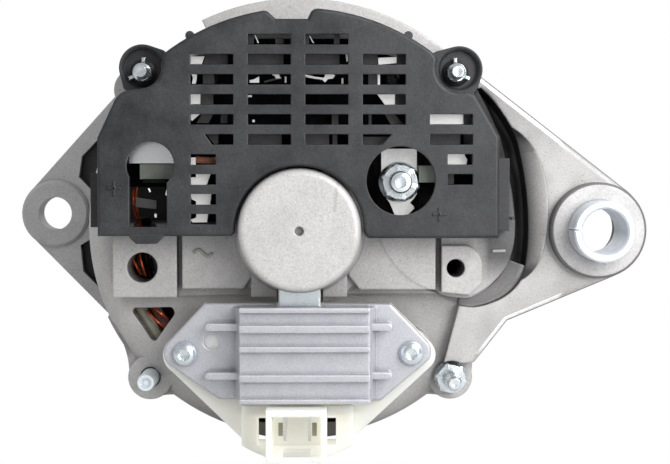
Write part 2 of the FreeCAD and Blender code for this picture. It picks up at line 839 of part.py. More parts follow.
def build_rear_housing():
    """The slip ring end casting: bowl, cap, machined pads, pivot arm and lug."""
    piece = new_body("rear_housing")
    outer = D.body_radius
    turn(piece, [
        (0, D.rear_rim),
        (outer, D.rear_rim),
        (outer, D.floor_outside - 6),
        (outer - 6, D.floor_outside, -6.0),
        (21.5, D.floor_outside),
        (21.5, 112.0),
        (D.cap_base, 112.0),
        (D.cap_tip + 0.2, D.cap_face - 1.5),
        (D.cap_tip - 1.3, D.cap_face, -1.5),
        (0, D.cap_face),
    ])

    def bulge():
        """The wider rim over the top, between the two upper bolts."""
        start, end = math.radians(115.4), math.radians(48.0)
        inner = value_of(outer) - 4
        profile = rear_profile(piece, D.rear_rim)
        profile.loop([
            (inner * math.cos(start), inner * math.sin(start)),
            (BULGE_RADIUS * math.cos(start), BULGE_RADIUS * math.sin(start)),
            (BULGE_RADIUS * math.cos(end), BULGE_RADIUS * math.sin(end), -BULGE_RADIUS),
            (inner * math.cos(end), inner * math.sin(end)),
        ])
        pad(piece, profile, D.floor_outside - 2 - D.rear_rim)

    def arm():
        """The arm from the bowl out to the pivot lug."""
        profile = rear_profile(piece, D.arm_face - 20)
        profile.loop([
            (36.0, 36.0),
            (43.0, 47.7),
            (90.97, 10.5),
            (87.75, -13.55, -14.0),
            (57.8, -26.0),
            (48.7, -37.6),
            (40.0, -38.0),
            (50.0, 0.0),
        ])
        pad(piece, profile, 20)
        flat = lies_at(D.arm_face)
        soften(piece, 1.6, lambda edge: (
            flat(edge) and edge.Curve.TypeId == "Part::GeomLine" and edge.BoundBox.XMax > 57
            and edge.BoundBox.XLength > 5
        ))
        lug = rear_profile(piece, D.arm_face - 20)
        lug.circle(D.pivot_x, D.pivot_z, 13.3)
        pad(piece, lug, D.lug_face - D.arm_face + 20)
        soften(piece, 0.7, lies_at(D.lug_face), "PartDesign::Chamfer")

    def ears():
        """Bolt ears, the lobe beside the upper left one, and their webs."""
        low = rear_profile(piece, D.rear_rim)
        for x, z in bolt_places()[2:]:
            low.circle(x, z, D.ear_radius)
        pad(piece, low, 22)
        high = rear_profile(piece, D.rear_rim)
        for x, z in bolt_places()[:2]:
            high.circle(x, z, D.ear_radius)
        pad(piece, high, D.ear_floor - D.cover_sheet - D.rear_rim)
        lobe = rear_profile(piece, D.rear_rim + 4)
        lobe.circle(-45.7, 38.4, 6.2)
        pad(piece, lobe, 20)
        webs = rear_profile(piece, D.rear_rim + 2)
        webs.loop([
            (-48.6, -42.6), (-51.8, -30.0, 24.0), (-38.0, -28.0), (-28.0, -50.0), (-39.5, -48.0, 16.0),
        ])
        webs.loop([(39.5, -48.0), (28.0, -50.0, 16.0), (38.0, -28.0), (49.0, -38.0), (48.6, -42.6)])
        pad(piece, webs, 17)

    def rim_and_pads():
        """The raised strip with its four pads, and the wall inside the channel."""
        strip = rear_profile(piece, D.floor_outside - 2)
        strip.loop([
            (-51.2, -18.8), (38.4, -18.2), (47.2, -19.4, 24.0), (52.4, -16.3, 21.0), (57.4, -10.6, 21.0),
            (59.5, -2.0, 24.0), (59.4, 5.0), (57.3, 15.5), (54.9, 25.5), (48.6, 38.3),
            (45.0, 36.0), (51.0, 24.0), (53.0, 15.0), (54.0, 3.0), (-51.2, 3.0),
        ])
        pad(piece, strip, 109 - D.floor_outside + 2)
        floor = 108.0
        tall = rear_profile(piece, floor)
        tall.block(-51.2, -33.7, -18.8, 2.4)
        tall.loop([(-32.2, -16.4), (-15.6, -16.4), (-13.4, -13.4), (-13.4, 2.4), (-32.2, 2.4)])
        tall.loop([(16.4, -16.7), (37.2, -16.7), (37.2, 2.4), (13.4, 2.4), (13.4, -12.8)])
        pad(piece, tall, D.pad_face - floor)
        land = rear_profile(piece, floor)
        land.loop([(38.8, -17.6), (46.6, -18.8), (52.0, -15.8, 21.0), (57.0, -10.2, 21.0), (59.1, -2.0, 24.0),
                   (59.2, 2.4), (38.8, 2.4)])
        pad(piece, land, D.pad_face - floor - 1.2)
        earth = rear_profile(piece, floor)
        earth.loop([
            (38.8, -17.4), (46.4, -18.2), (49.9, -15.0), (49.9, -10.0), (45.8, -4.6, 6.0), (38.8, -4.6),
        ])
        pad(piece, earth, D.pad_face - floor + 0.6)
        collar = rear_profile(piece, floor)
        collar.block(-13.3, 12.9, -18.6, 0.0)
        pad(piece, collar, 8)
        wall = rear_profile(piece, floor)
        wall.loop([(59.1, 3.0), (57.3, 15.5), (54.9, 25.5), (48.8, 37.8), (46.3, 36.6), (52.0, 24.6),
                   (54.4, 14.6), (55.8, 3.0)])
        pad(piece, wall, D.pad_face - floor - 1.2)

    def channel():
        """The curved channel between the bowl and the arm, shallow at its lower end."""
        deep = rear_profile(piece, D.pad_face + 1)
        deep.loop([
            (48.9, 38.6), (57.5, 15.7, -58.0), (59.7, -2.0, -51.0), (58.4, -9.0, -30.0), (63.2, -10.8),
            (64.0, 1.0, 60.0), (60.8, 23.7, 87.0), (50.2, 38.9, 46.5),
        ])
        pocket(piece, deep, 21)
        shallow = rear_profile(piece, D.pad_face + 1)
        shallow.loop([
            (58.4, -9.0), (57.6, -10.7), (52.6, -16.5, -21.0), (47.3, -19.6, -21.0), (38.6, -18.4, -24.0),
            (41.8, -20.9), (48.5, -22.2, 24.0), (54.8, -20.4, 24.0), (63.2, -10.8, 14.5),
        ])
        pocket(piece, shallow, 11)
        crest = rear_profile(piece, D.arm_face + 0.2)
        crest.loop([
            (57.6, 28.6), (65.6, 21.4, -18.0), (69.2, 5.0, -34.0), (67.4, -8.0, -50.0), (61.8, -14.6, -12.0),
            (61.4, -6.0), (61.6, 4.0), (60.0, 16.0),
        ])
        foot = rear_profile(piece, D.arm_face - 3.9)
        foot.loop([
            (57.4, 28.0), (61.5, 20.8, -40.0), (63.8, 5.0, -80.0), (63.5, -7.5, -60.0), (61.2, -13.6, -14.0),
            (61.0, -6.0), (61.2, 4.0), (59.6, 16.0),
        ])
        scoop(piece, crest, foot)

    def regulator_seats():
        """Two bosses and a saddle that carry the brush holder."""
        seats = rear_profile(piece, D.floor_outside - 2)
        for x in (-D.regulator_half, D.regulator_half):
            seats.circle(x, D.regulator_z, 5.8)
        pad(piece, seats, D.regulator_seat - D.floor_outside + 2)
        pillars = rear_profile(piece, D.floor_outside - 2)
        for x, z in RECTIFIER_SCREWS:
            pillars.circle(x, z, 4.0)
        pad(piece, pillars, PLATE_FRONT - PLATE_GAP - D.floor_outside + 2)

    bulge()
    arm()
    ears()
    rim_and_pads()
    channel()
    regulator_seats()
    groove(piece, [
        (0, D.rear_rim - 1),
        (D.stator_radius, D.rear_rim - 1),
        (D.stator_radius, D.stator_rear),
        (outer - 5.5, D.stator_rear),
        (outer - 5.5, D.floor_inside - 3),
        (outer - 8.5, D.floor_inside),
        (21.5, D.floor_inside),
        (21.5, D.rear_bearing_front),
        (D.rear_bearing_radius, D.rear_bearing_front),
        (D.rear_bearing_radius, D.rear_bearing_rear),
        (D.chamber_radius, D.rear_bearing_rear),
        (D.chamber_radius, D.cap_face - 2.5),
        (0, D.cap_face - 2.5),
    ])
    bolt_holes = rear_profile(piece, D.cap_face)
    for x, z in bolt_places():
        bolt_holes.circle(x, z, D.bolt_radius)
    pocket(piece, bolt_holes, 60)
    nut_seat = rear_profile(piece, D.cap_face)
    nut_seat.circle(D.bolt_offset, -D.bolt_offset, 5.2)
    pocket(piece, nut_seat, D.cap_face - D.rear_rim - 22)
    lug_bore = rear_profile(piece, D.cap_face)
    lug_bore.circle(D.pivot_x, D.pivot_z, D.pivot_bore)
    pocket(piece, lug_bore, 60)
    round_windows = rear_profile(piece, D.pad_face + 1)
    round_windows.circle(-43.1, -10.6, 4.15)
    round_windows.circle(-42.4, -0.6, 3.4)
    pocket(piece, round_windows, 20)
    triangle = rear_profile(piece, D.pad_face)
    triangle.loop(TRIANGLE)
    pocket(piece, triangle, 20)
    air = rear_profile(piece, D.pad_face + 6)
    sector_window(air, 27.0, 49.0, 66.0, 114.0)
    sector_window(air, 27.0, 47.0, 24.0, 51.0)
    sector_window(air, 27.0, 47.0, 129.0, 154.0)
    sector_window(air, 30.0, 50.0, 238.0, 256.0)
    sector_window(air, 30.0, 50.0, 284.0, 302.0)
    pocket(piece, air, 25)
    earth_hole = rear_profile(piece, D.cap_face)
    earth_hole.circle(42.7, -10.8, 2.5)
    pocket(piece, earth_hole, D.cap_face - D.floor_inside + 1)
    screw_holes = rear_profile(piece, D.cap_face)
    for x in (-D.regulator_half, D.regulator_half):
        screw_holes.circle(x, D.regulator_z, 2.0)
    for x, z in RECTIFIER_SCREWS:
        screw_holes.circle(x, z, 2.0)
    pocket(piece, screw_holes, D.cap_face - 102)
    brush_window = rear_profile(piece, 125.8)
    brush_window.block(-6.3, 6.3, -24.0, -8.0)
    pocket(piece, brush_window, 16.5)
    dimple = rear_profile(piece, D.cap_face)
    dimple.circle(0, 0, 1.2)
    pocket(piece, dimple, 1.9)
    keep("rear_housing", piece)


def build_pivot_bush():
    """The split steel bush that slides in the pivot lug."""
    bush = new_body("pivot_bush")
    ring = rear_profile(bush, D.bush_front)
    ring.circle(D.pivot_x, D.pivot_z, D.pivot_bore)
    ring.circle(D.pivot_x, D.pivot_z, D.bush_bore)
    pad(bush, ring, D.bush_rear - D.bush_front)
    slit = rear_profile(bush, D.bush_rear)
    slit.block(D.pivot_x - D.pivot_bore - 1, D.pivot_x - D.bush_bore + 1, D.pivot_z + 0.3, D.pivot_z + 0.8)
    pocket(bush, slit, D.bush_rear - D.bush_front)
    soften(bush, 0.5, lies_at(D.bush_rear), "PartDesign::Chamfer")
    keep("pivot_bush", bush)


# Rectifier under the cover

PLATE_FRONT = 114.0
PLATE_REAR = 117.0
PLATE_GAP = 2.0
DIODE_RADIUS = 6.35
RECTIFIER_SCREWS = [(-24.5, 40.5), (24.5, 40.5), (-26.0, 8.4)]
DIODE_PLACES = [(12.0, 39.5), (31.0, 31.0), (40.0, 19.0)]


def rectifier_plate(name, side):
    """One aluminium plate: an arch over the cap with a leg beside it."""
    plate = new_body(name)
    outline = [
        (5.0, 49.7), (5.0, 27.6), (19.8, 19.8, -28.0), (21.2, 3.0), (32.4, 3.0), (32.4, 11.5), (48.6, 11.5),
        (5.0, 49.7, 50.0),
    ]
    profile = rear_profile(plate, PLATE_FRONT)
    if side < 0:
        mirrored = [(-x, z) + tuple(-bulge for bulge in rest) for x, z, *rest in outline[1:]]
        profile.loop(mirrored)
    else:
        profile.loop(outline[1:])
    pad(plate, profile, PLATE_REAR - PLATE_FRONT)
    holes = rear_profile(plate, PLATE_REAR)
    for x, z in DIODE_PLACES:
        holes.circle(side * x, z, DIODE_RADIUS)
    for x, z in RECTIFIER_SCREWS:
        if x * side > 0:
            holes.circle(x, z, 2.0)
    if side > 0:
        holes.circle(D.stud_x, D.stud_z, D.stud_radius)
    pocket(plate, holes, PLATE_REAR - PLATE_FRONT)
    return plate


def build_rectifier():
    """Plates, power diodes, exciter diodes, insulators, screws and terminals."""
    keep("positive_plate", rectifier_plate("positive_plate", 1))
    keep("negative_plate", rectifier_plate("negative_plate", -1))
    for name, side in (("positive_diodes", 1), ("negative_diodes", -1)):
        diodes = []
        for number, (x, z) in enumerate(DIODE_PLACES):
            can = rod("%s_can%d" % (name, number), DIODE_RADIUS, 108.5, PLATE_REAR + 0.6, side * x, z)
            lead = rod("%s_lead%d" % (name, number), 0.7, PLATE_REAR + 0.6, 123.0, side * x, z)
            diodes.append(united("%s_diode%d" % (name, number), [can, lead]))
        keep(name, gathered(name, diodes))
    insulators = []
    for number, (x, z) in enumerate(RECTIFIER_SCREWS):
        sleeve = rod("insulator_sleeve%d" % number, 4.0, PLATE_FRONT - PLATE_GAP, PLATE_FRONT, x, z)
        bore = rod("insulator_bore%d" % number, 2.0, 110.0, 116.0, x, z)
        insulators.append(carved("insulator%d" % number, sleeve, bore))
    keep("plate_insulators", gathered("plate_insulators", insulators))
    screws = []
    for number, (x, z) in enumerate(RECTIFIER_SCREWS):
        shank = rod("rectifier_shank%d" % number, 2.0, 104.0, PLATE_REAR, x, z)
        head = rod("rectifier_head%d" % number, 3.4, PLATE_REAR, PLATE_REAR + 2.6, x, z)
        screws.append(united("rectifier_screw%d" % number, [shank, head]))
    keep("rectifier_screws", gathered("rectifier_screws", screws))
    board = new_body("exciter_board")
    arch = rear_profile(board, PLATE_REAR + 0.7)
    arch.loop([(-33.0, 13.4), (-43.0, 13.4), (-43.0, 17.6), (-31.6, 17.6), (-21.2, 24.6), (-9.0, 30.6),
               (9.0, 30.6), (9.0, 26.5), (-7.0, 26.5), (-19.0, 21.0), (-29.0, 14.4)])
    pad(board, arch, 4.0)
    keep("exciter_board", board)
    exciters = [
        rod("exciter_diode%d" % number, 2.6, PLATE_REAR + 4.7, PLATE_REAR + 7.4, x, z)
        for number, (x, z) in enumerate([(-26.0, 19.4), (-13.0, 27.0), (2.0, 28.5)])
    ]
    keep("exciter_diodes", gathered("exciter_diodes", exciters))
    x, z = D.stud_x, D.stud_z
    stud_parts = [
        hexagon("stud_head", 9.0, PLATE_FRONT - 4, PLATE_FRONT, x, z),
        rod("stud_thread", D.stud_radius, PLATE_FRONT, 128.6, x, z),
    ]
    keep("output_stud", united("output_stud", stud_parts))
    strip = new_body("output_strip")
    bar = rear_profile(strip, PLATE_REAR)
    bar.loop([
        (22.1, 21.8), (22.1, 10.4), (24.4, 7.2), (25.9, 3.6), (29.2, 3.6), (31.0, 5.6), (29.9, 7.2),
        (31.7, 9.6), (31.7, 21.8),
    ])
    bar.circle(x, z, D.stud_radius)
    pad(strip, bar, 1.5)
    keep("output_strip", strip)
    nut_front = PLATE_REAR + 1.5
    nut = united("output_nut_body", [
        rod("output_nut_flange", 5.5, nut_front, nut_front + 1.4, x, z),
        hexagon("output_nut_hex", 9.0, nut_front + 1.4, nut_front + 6.2, x, z),
    ])
    keep("output_nut", carved("output_nut", nut, rod("output_nut_bore", D.stud_radius, 110.0, 130.0, x, z)))
    keep("exciter_blade", brick("exciter_blade", -41.6, -35.3, PLATE_REAR + 0.7, 126.0, 12.6, 13.4))


# Cover, bolts and clips

COVER_OUTLINE = [
    (-53.1, -1.4), (-53.1, 24.4), (-48.5, 34.3), (-44.6, 37.0, -5.0), (-41.4, 37.4), (-36.2, 43.6, 5.6),
    (-35.4, 46.7), (-9.6, 57.8, -58.6), (-7.6, 57.0, -2.0), (-6.2, 55.7), (2.2, 55.7), (3.0, 57.4),
    (5.0, 58.4, -2.2), (34.2, 47.6, -58.6), (36.3, 44.6, -5.0), (43.6, 36.6, 6.2), (46.6, 35.4, -4.0),
    (52.8, 24.6), (52.8, -2.0), (18.5, -2.0), (17.0, 0.0, -2.2), (0.0, 17.0, 17.0), (-17.0, 0.0, 17.0),
    (-18.3, -1.4, -1.4),
]
COVER_EARS = [
    (-42.4, 43.6, [(-36.6, 48.3), (-47.4, 37.9)],
     [(-44.9, 36.1), (-40.8, 36.6), (-35.3, 43.0, 6.4), (-34.9, 45.9)]),
    (43.2, 43.2, [(48.3, 38.4), (37.0, 48.1)],
     [(34.0, 46.6), (35.1, 44.0), (42.9, 35.8, 7.5), (45.6, 34.8)]),
]
EAR_RADIUS = 6.3
COVER_INSIDE = [
    (-51.1, 0.6), (-51.1, 23.9), (-46.9, 32.9), (-44.6, 34.9, -3.5), (-41.0, 35.4), (-34.2, 43.2, 7.6),
    (-33.6, 45.5), (-9.2, 55.7, -56.6), (-6.9, 53.7), (3.4, 53.7), (5.0, 56.3), (32.6, 46.2, -56.6),
    (34.3, 43.8), (42.6, 34.8, 8.2), (44.8, 34.0), (50.8, 24.1), (50.8, 0.0), (19.4, 0.0),
    (19.4, -4.0), (-19.4, -4.0), (-19.4, 0.6),
]


def tangent_point(corner, centre, radius, side):
    """Where the line from a corner touches a circle; side +1 takes the left hand touch."""
    away = math.atan2(corner[1] - centre[1], corner[0] - centre[0])
    swing = math.acos(radius / math.dist(corner, centre))
    angle = away + side * swing
    return centre[0] + radius * math.cos(angle), centre[1] + radius * math.sin(angle)


def build_cover():
    """The moulded cover: a shelled cap with vent slots, two windows and two ears."""
    cover = new_body("rear_cover")
    body_outline = rear_profile(cover, D.cover_rim)
    body_outline.loop(COVER_OUTLINE)
    pad(cover, body_outline, D.cover_face - D.cover_rim)
    hollow = rear_profile(cover, D.cover_rim)
    hollow.loop(COVER_INSIDE)
    pocket(cover, hollow, D.cover_face - D.cover_sheet - D.cover_rim, True)
    soften(cover, 0.9, lies_at(D.cover_face))

    ear_rim = 2.2
    dish_radius = 5.1
    ears = rear_profile(cover, D.ear_floor - D.cover_sheet)
    for x, z, (near, far), inner in COVER_EARS:
        first = tangent_point(near, (x, z), EAR_RADIUS, 1)
        last = tangent_point(far, (x, z), EAR_RADIUS, -1)
        ears.loop([near, first, last + (EAR_RADIUS,), far] + inner)
    pad(cover, ears, D.cover_sheet + ear_rim)
    dishes = rear_profile(cover, D.ear_floor + ear_rim)
    for x, z, _, _ in COVER_EARS:
        dishes.circle(x, z, dish_radius)
    pocket(cover, dishes, ear_rim)
    rim = lies_at(D.ear_floor + ear_rim)
    soften(cover, 0.7, lambda edge: (
        rim(edge) and edge.Curve.TypeId == "Part::GeomCircle" and abs(edge.Curve.Radius - dish_radius) < 0.01
    ), "PartDesign::Chamfer")
    pips = rear_profile(cover, D.cover_face - 9)
    for x in (-28.7, 28.7):
        pips.circle(x, 51.3, 1.2)
    pad(cover, pips, 8.2)
    flaps = rear_profile(cover, D.cover_rim - 1.8)
    flaps.block(-56.4, -52.0, 0.6, 15.2)
    flaps.block(51.6, 56.8, -0.4, 19.2)
    pad(cover, flaps, 6)
    tab = rear_profile(cover, D.cover_face - 3)
    tab.loop([(-44.8, -1.0), (-44.8, -1.6), (-43.0, -3.4), (-37.6, -3.4), (-35.8, -1.6), (-35.8, -1.0)])
    pad(cover, tab, 3)

    slots = rear_profile(cover, D.cover_face)
    first_column = -28.6
    top_row = 51.7
    length, height = D.slot_length, D.slot_height

    def slot(column, row, start=0.0, end=None):
        """A vent slot, by its column, its row and where it starts and ends in the column."""
        left = first_column + column * D.slot_pitch_x
        high = top_row - row * D.slot_pitch_z
        slots.block(left + start, left + (length if end is None else end), high - height, high)

    for column in (1, 2):
        slot(column, 0)
    for row in range(1, 6):
        slot(1, row)
        slot(2, row)
    for row in range(1, 5):
        slot(0, row)
        slot(3, row)
    for row in range(6, 10):
        slot(0, row, 0.0, 6.7)
    right_column = 34.4
    for row, start in ((4, 0.0), (5, 0.0), (6, 4.7), (7, 4.7)):
        high = top_row - row * D.slot_pitch_z
        slots.block(right_column + start, right_column + length, high - height, high)
    cut_high = top_row - 5 * D.slot_pitch_z
    cut_low = cut_high - height
    slots.loop([(-22.9, cut_low), (-17.3, cut_low), (-17.3, cut_high), (-24.9, cut_high)])
    slots.loop([(16.7, cut_low), (21.8, cut_low), (24.4, cut_high), (16.7, cut_high)])
    pocket(cover, slots, D.cover_sheet + 0.5)

    windows = rear_profile(cover, D.cover_face)
    windows.circle(D.stud_x - 0.1, D.stud_z + 0.4, 9.1)
    windows.circle(-39.2, 17.2, 6.3)
    pocket(cover, windows, D.cover_sheet + 0.5)
    keyhole = rear_profile(cover, D.cover_face)
    keyhole.block(-44.7, -34.8, 1.0, 16.0)
    pocket(cover, keyhole, D.cover_sheet + 0.5)
    stud_holes = rear_profile(cover, D.ear_floor)
    for x, z in bolt_places()[:2]:
        stud_holes.circle(x, z, D.bolt_radius + 0.2)
    pocket(cover, stud_holes, D.cover_sheet)
    keep("rear_cover", cover)


CLIP_TABS = [(87, 203), (93, -23)]


def build_fasteners():
    """Through bolts, cover clips and the earth nut."""
    head_front = 42.0
    head_rear = 46.0
    tips = (124.0, 124.0, 117.5, 117.5)
    bolts = []
    for number, ((x, z), tip) in enumerate(zip(bolt_places(), tips)):
        bolts.append(united("through_bolt%d" % number, [
            hexagon("bolt_head%d" % number, 8.0, head_front, head_rear, x, z),
            rod("bolt_shank%d" % number, D.bolt_radius, head_rear, tip - 2.6, x, z),
            rod("bolt_point%d" % number, D.bolt_radius - 0.6, tip - 2.6, tip, x, z),
        ]))
    keep("through_bolts", gathered("through_bolts", bolts))
    clips = []
    clip_sheet = 0.6
    for number, (x, z) in enumerate(bolt_places()[:2]):
        clip = new_body("clip%d" % number)
        ring = rear_profile(clip, D.ear_floor)
        ring.circle(x, z, 3.6)
        ring.circle(x, z, D.bolt_radius)
        pad(clip, ring, clip_sheet)
        tabs = rear_profile(clip, D.ear_floor)
        for degrees in CLIP_TABS[number]:
            tab = [(2.6, -0.6), (4.1, -0.6), (4.1, 0.6), (2.6, 0.6)]
            tabs.loop([(x + across, z + up) for across, up in spun(tab, degrees)])
        pad(clip, tabs, 2.4)
        clips.append(clip)
    keep("cover_clips", gathered("cover_clips", clips))
    x, z = bolt_places()[3]
    seat = D.rear_rim + 22
    nut = united("earth_nut_body", [
        rod("earth_nut_flange", 4.6, seat, seat + 1.2, x, z),
        hexagon("earth_nut_hex", 8.0, seat + 1.2, seat + 5.4, x, z),
    ])
    bore = rod("earth_nut_bore", D.bolt_radius, seat - 2, seat + 8, x, z)
    keep("earth_nut", carved("earth_nut", nut, bore))


# Regulator, brush holder, brushes

def build_regulator():
    """The die cast regulator body with its ribs, and its two screws."""
    heatsink = new_body("regulator_heatsink")
    flange = rear_profile(heatsink, D.holder_face)
    flange.loop([
        (-25.6, -19.7), (24.6, -20.0), (34.6, -30.4), (34.8, -35.2, -4.0), (21.8, -46.2), (-21.7, -45.7),
        (-35.2, -36.4), (-35.6, -30.4, -4.2),
    ])
    pad(heatsink, flange, D.flange_face - D.holder_face)
    soften(heatsink, 0.6, lies_at(D.flange_face))
    block_left, block_right, block_low, block_high = -15.8, 18.6, -45.6, -20.3
    block = rear_profile(heatsink, D.holder_face)
    block.block(block_left, block_right, block_low, block_high)
    pad(heatsink, block, D.block_face - D.holder_face)
    ribs = rear_profile(heatsink, D.flange_face)
    for low, high in ((-21.5, -20.3), (-31.9, -30.5), (-45.6, -44.4)):
        ribs.block(block_left, block_right, low, high)
    for low, high in ((-26.8, -24.9), (-39.8, -38.0)):
        ribs.block(block_left, block_right, low, high)
    pad(heatsink, ribs, D.rib_face - D.flange_face)
    shoulders = Profile(heatsink, "XY_Plane", block_low + 0.4)
    foot, top, slope = -D.flange_face, -(D.block_face - 0.8), 1.9
    for edge, side in ((block_left, -1), (block_right, 1)):
        shoulders.loop([
            (edge - side, foot + 0.5), (edge + side * slope, foot + 0.5), (edge + side * slope, foot),
            (edge + side * 0.2, top), (edge - side, top),
        ][::side])
    pad(heatsink, shoulders, block_high - block_low - 0.8)
    long_ribs = rear_profile(heatsink, D.flange_face)
    for low, high in ((-26.8, -24.9), (-39.8, -38.0)):
        end = (high - low) / 2 + 0.001
        long_ribs.loop([(-24.3, low, end), (23.8, low), (23.8, high, end), (-24.3, high)])
    pad(heatsink, long_ribs, 4.6)
    inside = rear_profile(heatsink, D.holder_face)
    inside.block(block_left + 2, block_right - 2, block_low + 2, block_high - 2)
    pocket(heatsink, inside, D.block_face - 2 - D.holder_face, True)
    doorway = rear_profile(heatsink, D.holder_face)
    doorway.block(-6.4, 6.4, -24.0, -18.0)
    pocket(heatsink, doorway, 8.2, True)
    holes = rear_profile(heatsink, D.flange_face)
    for x in (-D.regulator_half, D.regulator_half):
        holes.circle(x, D.regulator_z, 2.0)
    holes.circle(-23.7, -30.2, 2.1)
    pocket(heatsink, holes, D.flange_face - D.holder_face)
    keep("regulator_heatsink", heatsink)
    screws = []
    for number, x in enumerate((-D.regulator_half, D.regulator_half)):
        shank = rod("regulator_shank%d" % number, 2.0, 103.0, D.flange_face, x, D.regulator_z)
        head = rod("regulator_head%d" % number, 3.2, D.flange_face, D.flange_face + 2.8, x, D.regulator_z)
        screws.append(united("regulator_screw%d" % number, [shank, head]))
    keep("regulator_screws", gathered("regulator_screws", screws))


BRUSH_TOP = -11.35
BRUSH_BOTTOM = -25.0
SPRING_BOTTOM = -33.0
BLADE_PLACES = (-3.8, 2.7)
BLADE_LOW, BLADE_HIGH = -54.9, -48.6


def build_brush_gear():
    """The brush holder with its socket, the blades, brushes and springs."""
    holder = new_body("brush_holder")
    plate = rear_profile(holder, D.regulator_seat)
    plate.loop([
        (-25.8, -20.4), (25.0, -20.4), (35.2, -30.6), (35.4, -37.6, -4.6), (14.4, -57.0), (14.4, -58.5),
        (7.1, -61.6), (-8.9, -61.6), (-15.8, -58.5), (-15.6, -57.2), (-34.8, -38.6), (-36.2, -31.0, -5.4),
    ])
    pad(holder, plate, D.holder_face - D.regulator_seat)
    raised = rear_profile(holder, D.holder_face)
    raised.loop([
        (-15.7, -47.6), (-15.7, -58.2), (-8.9, -61.5, 40.0), (7.1, -61.5), (14.4, -58.2, 40.0), (14.4, -47.6),
    ])
    block_rise = 4.0
    pad(holder, raised, block_rise)
    tower = rear_profile(holder, 110.6)
    tower.block(-5.6, 5.6, -36.0, -13.6)
    pad(holder, tower, 125.0 - 110.6)
    socket_rear = 138.0
    socket = rear_profile(holder, D.regulator_seat)
    socket.block(-8.7, 7.1, -60.2, -46.4)
    pad(holder, socket, socket_rear - D.regulator_seat)
    socket_floor = 119.5
    inside = rear_profile(holder, socket_rear)
    inside.block(-7.1, 5.5, -58.7, -48.1)
    pocket(holder, inside, socket_rear - socket_floor)
    latch = rear_profile(holder, socket_rear)
    latch.loop([(-4.2, -58.2), (-5.4, -62.0), (4.0, -62.0), (2.8, -58.2)])
    pocket(holder, latch, 14.0)
    openings = rear_profile(holder, D.holder_face + block_rise)
    openings.block(-11.4, -9.2, -58.3, -50.8)
    openings.block(7.4, 9.9, -58.3, -50.8)
    for x in (-D.regulator_half, D.regulator_half):
        openings.circle(x, D.regulator_z, 2.0)
    pocket(holder, openings, D.holder_face + block_rise - D.regulator_seat)
    blade_slots = rear_profile(holder, socket_floor)
    for x in BLADE_PLACES:
        blade_slots.block(x - 0.4, x + 0.4, BLADE_LOW, BLADE_HIGH)
    pocket(holder, blade_slots, 6)
    peg = rear_profile(holder, D.holder_face)
    peg.circle(-23.7, -30.2, 2.1)
    pad(holder, peg, D.flange_face - D.holder_face)
    half = D.brush_side / 2 + 0.12
    brush_channels = Profile(holder, "XY_Plane", -13.0)
    for middle in (D.slip_inner, D.slip_outer):
        brush_channels.block(-half, half, -(middle + half), -(middle - half))
    pocket(holder, brush_channels, -13.0 - SPRING_BOTTOM)
    keep("brush_holder", holder)
    blades = [
        brick("connector_blade%d" % number, x - 0.4, x + 0.4, 113.5, 134.5, BLADE_LOW, BLADE_HIGH)
        for number, x in enumerate(BLADE_PLACES)
    ]
    keep("connector_blades", gathered("connector_blades", blades))
    side = D.brush_side / 2
    for name, middle in (("inner", D.slip_inner), ("outer", D.slip_outer)):
        keep("brush_" + name, brick("brush_" + name, -side, side, middle - side, middle + side,
                                    BRUSH_BOTTOM, BRUSH_TOP))
        coil = carved("spring_tube_" + name,
                      post("spring_outside_" + name, 1.9, SPRING_BOTTOM, BRUSH_BOTTOM, 0.0, middle),
                      post("spring_inside_" + name, 1.4, SPRING_BOTTOM - 1, BRUSH_BOTTOM + 1, 0.0, middle))
        keep("brush_spring_" + name, coil)
    keep("brush_shield", brick("brush_shield", -5.2, 5.2, 125.0, 125.7, -30.0, -14.0))


build_rotor()
build_bearings()
build_drive_end()
build_fan()
build_stator()
build_front_housing()
build_bearing_retainer()
build_rear_housing()
build_pivot_bush()
build_rectifier()
build_cover()
build_fasteners()
build_regulator()
build_brush_gear()


def check_and_write():
    """Refuse a failed feature or a bad solid, then write each piece to its own file."""
    doc.recompute()
    failed = [thing.Name for thing in doc.Objects if "Invalid" in thing.State or "Error" in thing.State]
    for piece in pieces:
        if piece.Shape.isNull() or not piece.Shape.isValid() or not piece.Shape.Solids:
            failed.append(piece.Label)
    if failed:
        raise RuntimeError("these have failed: %s" % ", ".join(failed))
    for piece in pieces:
        piece.Shape.exportStep("parts/%s.step" % piece.Label)
        print("%-24s %8.2f cm3" % (piece.Label, piece.Shape.Volume / 1000.0))


check_and_write()
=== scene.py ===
"""A vehicle alternator seen from its rear: finishes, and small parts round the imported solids."""
import json
import logging
import math
from dataclasses import dataclass, field, replace
from enum import Enum
from functools import reduce
from typing import Callable, Iterable, Optional, Sequence

import bmesh
import bpy
from mathutils import Matrix, Vector


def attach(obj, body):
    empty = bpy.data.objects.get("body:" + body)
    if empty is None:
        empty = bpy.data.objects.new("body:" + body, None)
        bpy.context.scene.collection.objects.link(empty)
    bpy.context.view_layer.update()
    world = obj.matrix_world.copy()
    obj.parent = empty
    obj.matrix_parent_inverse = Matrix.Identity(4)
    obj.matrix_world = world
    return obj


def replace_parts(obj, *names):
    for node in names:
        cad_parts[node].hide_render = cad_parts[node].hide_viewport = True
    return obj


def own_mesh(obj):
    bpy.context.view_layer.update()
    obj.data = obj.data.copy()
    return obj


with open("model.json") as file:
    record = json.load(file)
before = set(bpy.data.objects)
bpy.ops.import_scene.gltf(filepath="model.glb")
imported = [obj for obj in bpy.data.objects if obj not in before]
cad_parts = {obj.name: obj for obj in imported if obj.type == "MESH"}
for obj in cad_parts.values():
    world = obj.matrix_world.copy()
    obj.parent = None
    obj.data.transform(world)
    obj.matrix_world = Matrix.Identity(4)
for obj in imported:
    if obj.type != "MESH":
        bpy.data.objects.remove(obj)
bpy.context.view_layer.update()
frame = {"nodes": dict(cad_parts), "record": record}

MM = 0.001
HOUSING = "housing"
